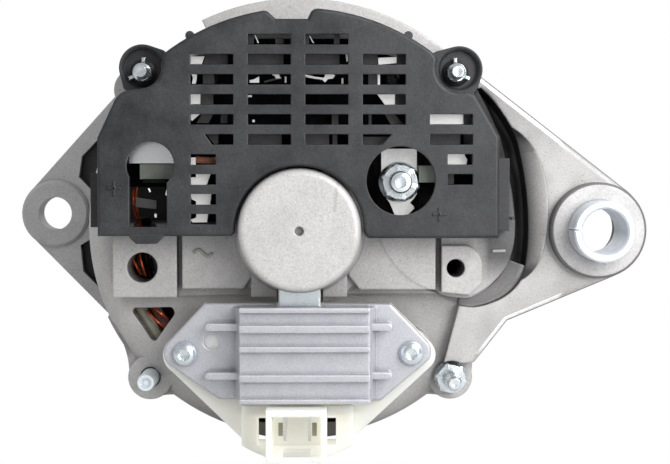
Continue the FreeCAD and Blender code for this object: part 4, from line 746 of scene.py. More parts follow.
# A dark strap finish for sheets shaped after shaded patches under the slots: painted shade.
DIM = Finish("dim_strap", "plate_aluminium", (0.05, 0.049, 0.053), (0.075, 0.074, 0.078),
             (0.03, 0.03, 0.03), 0.0, 0.5, grain=0.3, relief=0.006, mottle=3.0, pitting=0.3, gloss=0.2)
# A dark copy of the cast finish for the rims in the socket's openings: painted shade.
SHADED_RIM = replace(CAST, name="rim_in_shade", base=(0.22, 0.20, 0.185), stain=(0.19, 0.17, 0.16), edge_wear_and_highlight=0.0)
# A darker copy of the cream finish for the latch windows: painted shade.
SHADOW_CREAM = Finish("shaded_cream", "cream_plastic", (0.42, 0.41, 0.32), (0.36, 0.35, 0.27),
                      (0.3, 0.3, 0.24), 0.0, 0.5, grain=0.6, relief=0.004, pitting=0.1)
# Near black sheet finish: painted shade on rectifier parts, sheets and openings that lie in shade.
SHADE_PLATE = Finish("painted_shade_plate", "plate_aluminium", (0.005, 0.005, 0.005), (0.007, 0.007, 0.007),
                    (0.004, 0.004, 0.004), 0.0, 0.55, grain=0.3, relief=0.008, pitting=0.3, gloss=0.0)

# Rectifier parts under the cover that get the near black finish as painted shade.
SHADED = ("positive_diodes", "negative_diodes", "exciter_diodes", "exciter_board", "positive_plate",
          "negative_plate")

# Aluminium plates get the near black finish as painted shade.
SLOT_FINISH: dict[str, Finish] = {
    "cast_aluminium": CAST, "regulator_aluminium": DIE_CAST, "plate_aluminium": SHADE_PLATE,
    "turned_steel": STEEL, "bearing_steel": GROUND, "zinc_steel": ZINC, "core_steel": CORE,
    "pole_iron": IRON, "spring_steel": GROUND, "plated_metal": TINNED, "copper_enamel": ENAMEL,
    "ring_copper": COPPER, "brush_carbon": CARBON, "black_plastic": BLACK, "board_plastic": BOARD,
    "bobbin_plastic": BLACK, "cream_plastic": CREAM,
}
# The exciter blade also gets the near black finish as painted shade.
NODE_FINISH: dict[str, Finish] = {name: SHADE_PLATE for name in SHADED} | {
    "rear_cover": COVER, "rear_housing": REAR_CAST, "front_housing": FRONT_CAST, "pivot_bush": BUSH,
    "exciter_blade": SHADE_PLATE,
}


def dress_nodes() -> None:
    """Give each node that stays in view the finish of its material slot."""
    slots = {part["node"]: part["material_slot"] for part in frame["record"]["subparts"]}
    for name, node in frame["nodes"].items():
        finish = SLOT_FINISH[slots[name]]
        finish = NODE_FINISH.get(name, finish)
        for slot in node.material_slots:
            slot.material = finish.material()
        if not node.material_slots:
            node.data.materials.append(finish.material())


class Forge:
    """Collects simple forms in millimetres and makes them one piece."""

    def __init__(self) -> None:
        """Start with nothing."""
        self.mesh = bmesh.new()

    def ring(self, centre: Point, depth: float, radii: Sequence[float], spin: float = 0.0) -> Ring:
        """A closed row of points round a line along the rotor axis direction.

        Args:
            centre: X and Z of the line.
            depth: Depth of the row.
            radii: How far out each point is; without any reach the row is one point, given as often.
            spin: Turn of the first point in radians.

        Returns:
            The row's vertices.
        """
        if max(radii) <= 0.0:
            return [self.mesh.verts.new(at(centre[0], depth, centre[1]))] * len(radii)
        row = []
        for step, radius in enumerate(radii):
            angle = spin + math.tau * step / len(radii)
            row.append(self.mesh.verts.new(at(centre[0] + radius * math.cos(angle), depth,
                                              centre[1] + radius * math.sin(angle))))
        return row

    def skin(self, rows: Sequence[Ring]) -> None:
        """Join each closed row of points to the next with faces.

        Args:
            rows: Rows of as many points each.
        """
        for near, far in zip(rows, rows[1:]):
            for step in range(len(near)):
                after = (step + 1) % len(near)
                corners = dict.fromkeys((near[step], far[step], far[after], near[after]))
                if len(corners) > 2:
                    self.mesh.faces.new(list(corners))

    def lathe(self, outline: Sequence[Point], centre: Point = (0.0, 0.0), segments: int = 48) -> None:
        """Turn an outline about a line along the rotor axis direction.

        Args:
            outline: Radius and depth of each point, from the front to the rear; a closed form starts and
                ends at radius 0 or repeats its first point.
            centre: X and Z of the line.
            segments: Number of faces round it.
        """
        self.skin([self.ring(centre, depth, [radius] * segments) for radius, depth in outline])

    def prism(self, outline: Sequence[Point], front: float, rear: float) -> None:
        """Raise a closed outline from one depth to another.

        Args:
            outline: Its X and Z points.
            front: Depth of its front face.
            rear: Depth of its rear face.
        """
        near = [self.mesh.verts.new(at(x, front, z)) for x, z in outline]
        far = [self.mesh.verts.new(at(x, rear, z)) for x, z in outline]
        self.skin([near, far])
        self.mesh.faces.new(near)
        self.mesh.faces.new(far[::-1])

    def bar(self, start: Point, end: Point, half: float, front: float, rear: float) -> None:
        """A straight bar with bevelled rear edges and cut ends.

        Args:
            start: X and Z of one end.
            end: X and Z of the other end.
            half: Half its width.
            front: Depth of its front face.
            rear: Depth of its rear face.
        """
        along = Vector((end[0] - start[0], end[1] - start[1])).normalized()
        across = Vector((-along.y, along.x))
        edge = min(half * 0.4, (rear - front) * 0.5)
        rings = []
        for depth, inset in ((front, 0.0), (rear - edge, 0.0), (rear, edge)):
            ring = []
            for tip, lengthwise, side in ((start, 1, 1), (start, 1, -1), (end, -1, -1), (end, -1, 1)):
                x = tip[0] + along.x * lengthwise * inset + across.x * side * (half - inset)
                z = tip[1] + along.y * lengthwise * inset + across.y * side * (half - inset)
                ring.append(self.mesh.verts.new(at(x, depth, z)))
            rings.append(ring)
        self.skin(rings)
        self.mesh.faces.new(rings[0])
        self.mesh.faces.new(rings[-1][::-1])

    def stroke(self, path: Sequence[Point], half: float, front: float, rear: float) -> None:
        """A narrow raised band that follows a path.

        Args:
            path: X and Z points along its middle.
            half: Half its width.
            front: Depth of its front face.
            rear: Depth of its rear face.
        """
        left, right = [], []
        for step, (x, z) in enumerate(path):
            before, after = path[max(step - 1, 0)], path[min(step + 1, len(path) - 1)]
            along = Vector((after[0] - before[0], after[1] - before[1])).normalized()
            left.append((x - along.y * half, z + along.x * half))
            right.append((x + along.y * half, z - along.x * half))
        self.prism(left + right[::-1], front, rear)

    def wire(self, points: Sequence[Place], radius: float) -> None:
        """A round wire through soft bends.

        Args:
            points: X, depth and Z along it.
            radius: Its radius.
        """
        curve = bpy.data.curves.new("wire", "CURVE")
        curve.dimensions = "3D"
        curve.bevel_depth = radius * MM
        curve.bevel_resolution = 3
        curve.use_fill_caps = True
        curve.resolution_u = 8
        spline = curve.splines.new("NURBS")
        spline.points.add(len(points) - 1)
        for target, (x, depth, z) in zip(spline.points, points):
            target.co = (*at(x, depth, z), 1.0)
        spline.order_u = 4
        spline.use_endpoint_u = True
        holder = new_object("wire", curve)
        ready = holder.evaluated_get(bpy.context.evaluated_depsgraph_get())
        self.add_mesh(bpy.data.meshes.new_from_object(ready), Matrix.Identity(4))
        bpy.data.objects.remove(holder)
        bpy.data.curves.remove(curve)

    def add_mesh(self, source: bpy.types.Mesh, place: Matrix) -> None:
        """Take in a ready mesh and free it.

        Args:
            source: The mesh.
            place: Where it goes.
        """
        source.transform(place)
        self.mesh.from_mesh(source)
        bpy.data.meshes.remove(source)

    def piece(self, name: str, finish: Finish, body: str = HOUSING) -> bpy.types.Object:
        """Finish the collected forms as one object that rides on a body.

        Args:
            name: The object's name.
            finish: Its surface.
            body: The body that it moves with.

        Returns:
            The new object.
        """
        bmesh.ops.remove_doubles(self.mesh, verts=self.mesh.verts, dist=1e-7)
        bmesh.ops.recalc_face_normals(self.mesh, faces=self.mesh.faces)
        data = bpy.data.meshes.new(name)
        self.mesh.to_mesh(data)
        self.mesh.free()
        return settle(name, data, finish, body)


def settle(name: str, data: bpy.types.Mesh, finish: Finish, body: str = HOUSING,
           smooth: float = 32.0) -> bpy.types.Object:
    """Put a mesh in the scene with its finish, shading and body.

    Args:
        name: The object's name.
        data: Its mesh.
        finish: Its surface.
        body: The body that it moves with.
        smooth: Edges sharper than this angle in degrees stay sharp.

    Returns:
        The new object.
    """
    data.materials.clear()
    data.materials.append(finish.material())
    data.shade_smooth()
    data.set_sharp_from_angle(angle=math.radians(smooth))
    made = new_object(name, data)
    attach(made, body)
    log.info("%s: %d faces on %s", name, len(data.polygons), body)
    return made


def geometry_tree(name: str, sizes: dict[str, object],
                  fill: Callable[[NodeTree, Node], Socket]) -> Tree:
    """Build a geometry tree that ends in Realize Instances and Set Material.

    Args:
        name: The tree's name.
        sizes: Each named input with its default; whole numbers make whole number inputs.
        fill: Adds the nodes between and gives the geometry's socket.

    Returns:
        The finished tree.
    """
    tree = bpy.data.node_groups.new(name, "GeometryNodeTree")
    tree.interface.new_socket("Geometry", in_out="INPUT", socket_type="NodeSocketGeometry")
    for label, value in sizes.items():
        kind = "NodeSocketInt" if isinstance(value, int) else "NodeSocketFloat"
        tree.interface.new_socket(label, in_out="INPUT", socket_type=kind).default_value = value
    tree.interface.new_socket("Finish", in_out="INPUT", socket_type="NodeSocketMaterial")
    tree.interface.new_socket("Geometry", in_out="OUTPUT", socket_type="NodeSocketGeometry")
    nodes = NodeTree(tree)
    given = nodes.add("NodeGroupInput")
    shape = fill(nodes, given)
    real = nodes.add("GeometryNodeRealizeInstances", None, Geometry=shape).outputs[0]
    dressed = nodes.add("GeometryNodeSetMaterial", None, Geometry=real,
                        Material=given.outputs["Finish"]).outputs[0]
    nodes.add("NodeGroupOutput", None, Geometry=dressed)
    return tree


def grown(tree: Tree, finish: Finish, **sizes: object) -> bpy.types.Mesh:
    """Run a geometry tree once.

    Args:
        tree: The tree.
        finish: The finish of the result.
        sizes: Values of its named inputs, with underscores for spaces; lengths in metres.

    Returns:
        The result as a plain mesh.
    """
    holder = new_object("grown", bpy.data.meshes.new("seed"))
    modifier = holder.modifiers.new("grow", "NODES")
    modifier.node_group = tree
    values = {name.replace("_", " "): value for name, value in sizes.items()} | {"Finish": finish.material()}
    for item in tree.interface.items_tree:
        if item.in_out == "INPUT" and item.name in values:
            modifier[item.identifier] = values[item.name]
    ready = holder.evaluated_get(bpy.context.evaluated_depsgraph_get())
    data = bpy.data.meshes.new_from_object(ready)
    holder.modifiers.remove(modifier)
    bpy.data.objects.remove(holder)
    return data


def fill_coil(nodes: NodeTree, given: Node) -> Socket:
    """A wire or thread crest wound round Z.

    Args:
        nodes: Takes the nodes.
        given: The tree's input node.

    Returns:
        The coil's geometry.
    """
    path = nodes.add("GeometryNodeCurveSpiral", None, Resolution=given.outputs["Steps"],
                     Rotations=given.outputs["Turns"], Start_Radius=given.outputs["Radius"],
                     End_Radius=given.outputs["Radius"], Height=given.outputs["Length"])
    section = nodes.add("GeometryNodeCurvePrimitiveCircle", None, Resolution=given.outputs["Sides"],
                        Radius=given.outputs["Wire"])
    return nodes.add("GeometryNodeCurveToMesh", None, Curve=path.outputs[0], Profile_Curve=section.outputs[0],
                     Fill_Caps=True).outputs[0]


def fill_crown(nodes: NodeTree, given: Node) -> Socket:
    """Wires that leave one slot, bow outwards over the end of the stack and enter another.

    Args:
        nodes: Takes the nodes.
        given: The tree's input node.

    Returns:
        The geometry of the whole crown.
    """
    size = given.outputs
    wire = nodes.add("GeometryNodeCurveQuadraticBezier", None, Resolution=12)
    half = nodes.over(size["Reach"], 2.0)
    for end, turn, radius, rise in (("Start", half, "Inner", 0.0), ("Middle", 0.0, "Middle", size["Rise"]),
                                    ("End", nodes.times(half, -1.0), "Outer", 0.0)):
        across = nodes.times(nodes.maths("SINE", turn), size[radius])
        up = nodes.times(nodes.maths("COSINE", turn), size[radius])
        nodes.join(nodes.add("ShaderNodeCombineXYZ", None, X=across, Y=up, Z=rise).outputs[0], wire, end)
    section = nodes.add("GeometryNodeCurvePrimitiveCircle", None, Resolution=6, Radius=size["Wire"])
    strand = nodes.add("GeometryNodeCurveToMesh", None, Curve=wire.outputs[0], Fill_Caps=True,
                       Profile_Curve=section.outputs[0]).outputs[0]
    points = nodes.add("GeometryNodePoints", None, Count=size["Count"])
    number = nodes.add("GeometryNodeInputIndex").outputs[0]
    shake = nodes.add("FunctionNodeRandomValue", {"data_type": "FLOAT"}, i2=-0.03, i3=0.03,
                      Seed=size["Seed"]).outputs[1]
    turn = nodes.plus(nodes.times(number, nodes.over(math.tau, size["Count"])),
                      nodes.plus(shake, size["Phase"]))
    rotation = nodes.add("ShaderNodeCombineXYZ", None, Z=turn).outputs[0]
    scale = nodes.add("FunctionNodeRandomValue", {"data_type": "FLOAT"}, i2=0.965, i3=1.0,
                      Seed=nodes.plus(size["Seed"], 7.0)).outputs[1]
    return nodes.add("GeometryNodeInstanceOnPoints", None, Points=points.outputs[0], Instance=strand,
                     Rotation=rotation, Scale=scale).outputs[0]


COIL = geometry_tree("wound_coil", {"Steps": 24, "Turns": 5.0, "Radius": 0.0016, "Length": 0.008,
                                    "Sides": 6, "Wire": 0.0003}, fill_coil)
CROWN = geometry_tree("winding_crown", {"Count": 36, "Seed": 1, "Reach": 0.5, "Inner": 0.047,
                                        "Middle": 0.05, "Outer": 0.049, "Rise": 0.016, "Phase": 0.0,
                                        "Wire": 0.0005}, fill_crown)


def towards(direction: Vector, start: Vector) -> Matrix:
    """The place of a form drawn along +Z that shall start somewhere and point in a direction."""
    return Matrix.Translation(start) @ direction.to_track_quat("Z", "Y").to_matrix().to_4x4()


REARWARD = Vector((0.0, -1.0, 0.0))


@dataclass
class Hardware:
    """Threads, nuts and screw heads; sizes in millimetres."""

    pitch: float = 0.8
    chamfer: float = 0.35

    def thread(self, forge: Forge, radius: float, front: float, rear: float, centre: Point) -> None:
        """Wind a thread's crest round a core between two depths.

        Args:
            forge: Takes the forms.
            radius: Outside radius of the thread.
            front: Depth where it starts.
            rear: Depth where it ends.
            centre: X and Z of its axis.
        """
        crest = self.pitch * 0.36
        core = radius - crest * 0.8
        outline = [(0, front), (core, front), (core, rear - 0.3), (core - 0.4, rear), (0, rear)]
        forge.lathe(outline, centre, 32)
        length = rear - front - self.pitch
        coil = grown(COIL, ZINC, Steps=20, Turns=length / self.pitch, Radius=(radius - crest) * MM,
                     Length=length * MM, Sides=4, Wire=crest * MM)
        forge.add_mesh(coil, towards(REARWARD, at(centre[0], front + self.pitch / 2, centre[1])))

    def hexagon(self, forge: Forge, across_flats: float, front: float, rear: float, centre: Point,
                bore: float = 0.0, spin: float = 0.0) -> None:
        """A hexagon with both rims bevelled by a cone, solid or with a bore.

        Args:
            forge: Takes the form.
            across_flats: Width over two flats.
            front: Depth of its front face.
            rear: Depth of its rear face.
            centre: X and Z of its axis.
            bore: Radius of its hole, or 0.
            spin: Turn in radians.
        """
        flat = across_flats / 2
        corner = flat / math.cos(math.pi / 6)
        steps = 72
        sides = []
        for step in range(steps):
            wedge = (math.tau * step / steps + math.pi / 6) % (math.pi / 3) - math.pi / 6
            sides.append(flat / math.cos(wedge))
        rows = []
        for depth, limit in ((front, flat * 0.97), (front + self.chamfer, corner),
                             (rear - self.chamfer, corner), (rear, flat * 0.97)):
            rows.append(forge.ring(centre, depth, [min(side, limit) for side in sides], spin))
        first, last = (forge.ring(centre, depth, [bore] * steps, spin) for depth in (front, rear))
        forge.skin([first, *rows, last] + ([first] if bore > 0.0 else []))


def raised(name: str, finish: Finish, outlines: Iterable[Sequence[Point]], front: float,
           rear: float) -> bpy.types.Object:
    """Make one piece of the housing from outlines between two depths.

    Args:
        name: The object's name.
        finish: Its surface.
        outlines: Closed outlines of X and Z points.
        front: Depth of the front faces.
        rear: Depth of the rear faces.

    Returns:
        The new object.
    """
    forge = Forge()
    for outline in outlines:
        forge.prism(outline, front, rear)
    return forge.piece(name, finish)


def pane(left: float, right: float, top: float, low: float) -> list[Point]:
    """The outline of an upright rectangle."""
    return [(left, top), (right, top), (right, low), (left, low)]


@dataclass
class Castings:
    """Raised marks on the front and rear housing: a plain minus and a wave at the places of their terminals.
    """

    minus: Point = (54.7, -6.2)
    wave: Point = (-26.5, -6.6)
    pad_face: float = 114.0
    land_face: float = 112.8
    relief: float = 0.35

    def build(self) -> None:
        """Raise the marks."""
        marks = Forge()
        x, z = self.minus
        marks.bar((x - 1.9, z), (x + 1.9, z), 0.45, self.land_face - 0.2, self.land_face + self.relief)
        x, z = self.wave
        bow = [(x - 2.6 + 5.2 * step / 16, z + 0.9 * math.sin(math.tau * step / 16)) for step in range(17)]
        marks.stroke(bow, 0.4, self.pad_face - 0.2, self.pad_face + self.relief)
        marks.piece("terminal_marks", SIGN)


@dataclass
class Cover:
    """A raised plus beside each of the two windows of the slotted cover over the rectifier."""

    face: float = 130.0
    relief: float = 0.3
    pluses: tuple[Point, ...] = ((-48.7, 11.2), (36.9, 4.3))
    reach: float = 1.9

    def build(self) -> None:
        """Raise the marks."""
        marks = Forge()
        for x, z in self.pluses:
            marks.bar((x - self.reach, z), (x + self.reach, z), 0.4, self.face - 0.2, self.face + self.relief)
            marks.bar((x, z - self.reach), (x, z + self.reach), 0.4, self.face - 0.2, self.face + self.relief)
        marks.piece("cover_marks", COVER)


@dataclass
class Fasteners:
    """Through bolts, clips, earth nut and screws; places are X and Z in millimetres."""

    offset: float = 42.3
    head: Point = (42.0, 46.0)
    tips: tuple[float, ...] = (124.0, 124.0, 114.5, 117.5)
    bolt: float = 2.5
    clip_seat: float = 116.0
    regulator: tuple[Point, ...] = ((-30.9, -33.4), (30.05, -33.3))
    rectifier: tuple[Point, ...] = ((-24.3, 40.5), (25.1, 40.3), (-26.0, 8.4))
    parts: Hardware = field(default_factory=Hardware)

    def places(self) -> list[Point]:
        """Find the four bolts.

        Returns:
            X and Z at the top left, top right, bottom left and bottom right.
        """
        far = self.offset
        return [(-far, far), (far, far), (-far, -far), (far, -far)]

    def through_bolts(self) -> None:
        """Hexagon heads, plain shanks, rolled threads and turned points."""
        forge = Forge()
        for centre, tip in zip(self.places(), self.tips):
            self.parts.hexagon(forge, 8.0, self.head[0], self.head[1], centre)
            forge.lathe([(0, self.head[1]), (self.bolt - 0.2, self.head[1]), (self.bolt - 0.2, 96), (0, 96)],
                        centre, 24)
            if tip == min(self.tips):
                plain = Forge()
                plain.lathe([(0, 95), (self.bolt, 95), (self.bolt, tip - 1.0), (2.2, tip), (1.5, tip),
                             (1.4, tip - 0.9), (0.9, tip - 0.9), (0.7, tip - 0.1), (0, tip)], centre, 40)
                plain.piece("plain_bolt_end", BOLT_END)
                continue
            self.parts.thread(forge, self.bolt, 95, tip - 2.4, centre)
            point = self.bolt - 0.62
            forge.lathe([(0, tip - 3), (point, tip - 3), (point, tip - 0.45), (point - 0.12, tip - 0.2),
                         (point - 0.4, tip), (0.5, tip), (0, tip - 0.15)], centre, 32)
        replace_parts(forge.piece("through_bolts_cut", ZINC, HOUSING), "through_bolts")
        # A black ring in the gap round the lower left bolt: painted shade.
        gap = Forge()
        outline = [(2.4, 101.9), (2.95, 101.9), (2.95, 102.1), (2.4, 102.1), (2.4, 101.9)]
        gap.lathe(outline, self.places()[2], 32)
        gap.piece("bolt_gap_shade", BLACK)

    def clips(self) -> None:
        """A dished spring ring with two bright tabs on each upper bolt."""
        ring = Forge()
        tabs = Forge()
        seat = self.clip_seat
        for centre, turns in zip(self.places()[:2], ((87.0, 203.0), (93.0, -23.0))):
            ring.lathe([(2.6, seat), (3.5, seat), (3.6, seat + 0.5), (3.1, seat + 0.9), (2.6, seat + 1.3),
                        (2.6, seat)], centre, 40)
            for turn in turns:
                along = (math.cos(math.radians(turn)), math.sin(math.radians(turn)))
                start = (centre[0] + along[0] * 2.7, centre[1] + along[1] * 2.7)
                end = (centre[0] + along[0] * 4.15, centre[1] + along[1] * 4.15)
                tabs.bar(start, end, 0.58, seat + 1.2, seat + 2.1)
        held = ring.piece("clip_rings", BLACK_OXIDE)
        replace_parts(held, "cover_clips")
        tabs.piece("clip_tabs", ZINC)

    def earth_nut(self) -> None:
        """A flange nut on a toothed washer."""
        forge = Forge()
        centre = self.places()[3]
        seat = 102.0
        teeth = 22
        star = []
        for step in range(teeth * 2):
            angle = math.tau * step / (teeth * 2)
            reach = 4.6 if step % 2 else 4.1
            star.append((centre[0] + reach * math.cos(angle), centre[1] + reach * math.sin(angle)))
        forge.prism(star, seat, seat + 0.7)
        forge.lathe([(2.5, seat + 0.7), (4.35, seat + 0.7), (4.45, seat + 1.0), (4.1, seat + 1.35),
                     (3.6, seat + 1.8), (2.5, seat + 1.8), (2.5, seat + 0.7)], centre, 48)
        self.parts.hexagon(forge, 8.0, seat + 1.2, seat + 5.4, centre, 2.3, 0.3)
        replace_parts(forge.piece("earth_nut_cut", ZINC, HOUSING), "earth_nut")

    def screw(self, forge: Forge, centre: Point, seat: float, radius: float, height: float,
              shank: float) -> None:
        """A pan head screw with a star recess.

        Args:
            forge: Takes the form.
            centre: X and Z of its axis.
            seat: Depth of the face under its head.
            radius: Radius of its head.
            height: Height of its head.
            shank: Depth of its hidden end.
        """
        top = seat + height
        recess = radius * 0.46
        forge.lathe([(0, shank), (1.9, shank), (1.9, seat), (radius, seat), (radius, seat + 0.45),
                     (radius * 0.93, seat + 0.8), (radius * 0.86, top - 0.7), (radius * 0.7, top - 0.22),
                     (recess + 0.1, top), (recess, top - 0.1), (recess * 0.9, top - 1.1), (0, top - 1.3)],
                    centre, 40)
        for step in range(6):
            angle = math.tau * step / 6 + 0.2
            lobe = (centre[0] + recess * 0.98 * math.cos(angle), centre[1] + recess * 0.98 * math.sin(angle))
            forge.lathe([(0, top - 1.2), (0.3, top - 1.2), (0.3, top - 0.08), (0, top - 0.08)], lobe, 10)

    def screws(self) -> None:
        """The regulator's two screws and the rectifier's three."""
        forge = Forge()
        for centre in self.regulator:
            self.screw(forge, centre, 122.0, 3.3, 2.7, 103.2)
        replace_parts(forge.piece("regulator_screws_cut", ZINC, HOUSING), "regulator_screws")
        forge = Forge()
        for centre in self.rectifier:
            self.screw(forge, centre, 117.0, 2.2, 2.5, 104.2)
        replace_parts(forge.piece("rectifier_screws_cut", BLACK_OXIDE, HOUSING), "rectifier_screws")

    def build(self) -> None:
        """Make every fastener."""
        self.through_bolts()
        self.clips()
        self.earth_nut()
        self.screws()


# Outlines of lit patches under the slots, raised as sheets with painted light.
BRIGHT_PANES: tuple[tuple[float, ...], ...] = (
    (-29.6, -26.3, 36.1, 33.5), (-3.9, -3.4, 40.8, 39.2), (-14.0, -12.6, 35.9, 35.4),
    (-12.5, -11.9, 29.4, 28.7), (11.2, 11.7, 40.4, 38.9), (20.8, 21.4, 41.6, 38.7),
    (34.5, 43.6, 31.5, 28.2), (-29.5, -27.6, 19.4, 17.2),
)
BRIGHT_GLINTS: tuple[tuple[Point, ...], ...] = (
    ((-29.5, 46.1), (-25.2, 46.1), (-25.9, 44.1), (-29.5, 44.1)),
    ((-29.2, 42.2), (-27.6, 42.2), (-27.2, 41.0), (-27.3, 39.9), (-27.6, 38.9), (-28.5, 38.9),
     (-28.2, 40.5), (-28.6, 41.3)),
    ((-29.6, 31.5), (-26.2, 31.5), (-26.4, 30.9), (-28.5, 29.1), (-29.1, 29.6), (-29.6, 31.0)),
    ((-13.2, 39.2), (-13.2, 39.8), (-12.0, 40.1), (-10.7, 40.8), (-10.7, 39.2)),
    ((-7.2, 41.8), (-5.7, 41.8), (-5.2, 41.0), (-4.8, 40.3), (-6.2, 40.3), (-6.6, 41.0), (-7.2, 41.3)),
    ((-11.9, 51.7), (-11.6, 51.7), (-10.7, 49.7), (-11.0, 49.7)),
    ((2.6, 51.6), (2.8, 51.6), (3.9, 49.7), (3.6, 49.7)),
    ((12.3, 47.0), (12.8, 46.5), (12.9, 45.0), (12.5, 44.7)),
    ((1.3, 41.5), (2.3, 41.2), (4.1, 40.8), (6.5, 40.5), (6.8, 41.0), (6.8, 41.9), (7.8, 41.9),
     (9.5, 41.2), (8.9, 40.3), (7.6, 40.2), (6.8, 39.3), (6.1, 40.0), (3.7, 40.3), (2.1, 40.6),
     (1.3, 40.9)),
    ((20.9, 45.8), (25.8, 46.0), (25.8, 44.4), (21.0, 44.0)),
    ((20.6, 36.3), (25.4, 36.3), (25.4, 33.4), (22.7, 33.4)),
    ((39.4, 20.9), (43.9, 20.9), (44.1, 19.7), (44.7, 18.9), (44.5, 17.5), (39.4, 17.5)),
    ((-29.7, 14.1), (-27.5, 14.1), (-27.5, 15.4), (-23.5, 15.4), (-24.7, 12.0), (-29.7, 12.0)),
    ((-28.9, 9.5), (-28.5, 10.1), (-23.4, 10.1), (-23.8, 6.7), (-27.5, 6.7), (-27.5, 7.7),
     (-28.7, 8.3)),
    ((-27.4, 4.8), (-24.3, 4.8), (-24.6, 2.1), (-28.5, 2.1), (-28.9, 2.8), (-27.5, 3.4)),
    ((-34.9, 11.8), (-35.2, 11.2), (-35.7, 9.4), (-34.9, 9.0)),
    ((-40.3, 11.1), (-40.0, 11.2), (-39.5, 10.3), (-39.8, 10.1)),
    ((-38.6, 4.4), (-38.0, 4.3), (-38.0, 3.4), (-38.5, 3.4)),
)
# Outlines of shaded patches under the slots, raised as sheets with painted shade.
DIM_PANES: tuple[tuple[float, ...], ...] = (
    (-25.6, -22.6, 42.2, 38.9), (-26.3, -22.9, 36.5, 33.5), (-20.9, -19.1, 31.5, 28.5),
    (-14.0, -12.1, 52.6, 49.5), (-6.4, -4.2, 50.9, 49.5), (-14.0, -4.2, 47.3, 44.1),
    (-14.0, -4.7, 26.1, 22.8), (1.2, 2.6, 52.5, 49.4), (9.2, 10.7, 52.5, 49.4), (1.2, 10.7, 47.2, 44.1),
    (8.6, 10.4, 31.5, 28.1), (1.2, 7.9, 26.1, 22.8), (8.8, 10.1, 26.1, 22.8), (16.7, 20.8, 47.2, 44.1),
    (25.9, 28.3, 47.2, 44.1), (18.3, 20.7, 41.9, 38.7), (25.5, 28.5, 36.6, 33.4),
    (18.4, 19.2, 31.5, 28.1), (43.7, 45.1, 31.5, 28.2), (34.5, 42.9, 26.0, 22.8),
    (39.5, 41.2, 15.6, 12.3),
)
DIM_GLINTS: tuple[tuple[Point, ...], ...] = (
    ((-24.3, 47.4), (-19.0, 47.4), (-19.0, 44.1), (-25.6, 44.1)),
    ((-25.7, 31.5), (-22.5, 31.5), (-24.2, 28.5), (-27.3, 28.5)),
    ((-25.4, 26.3), (-21.6, 26.3), (-21.6, 23.0), (-22.8, 23.0)),
    ((-9.4, 39.2), (-9.3, 39.7), (-4.7, 40.8), (-4.7, 40.3)),
    ((22.4, 31.5), (24.8, 31.5), (27.8, 28.1), (24.3, 28.1)),
    ((16.5, 24.9), (25.0, 24.9), (22.2, 22.8), (16.5, 22.8)),
)


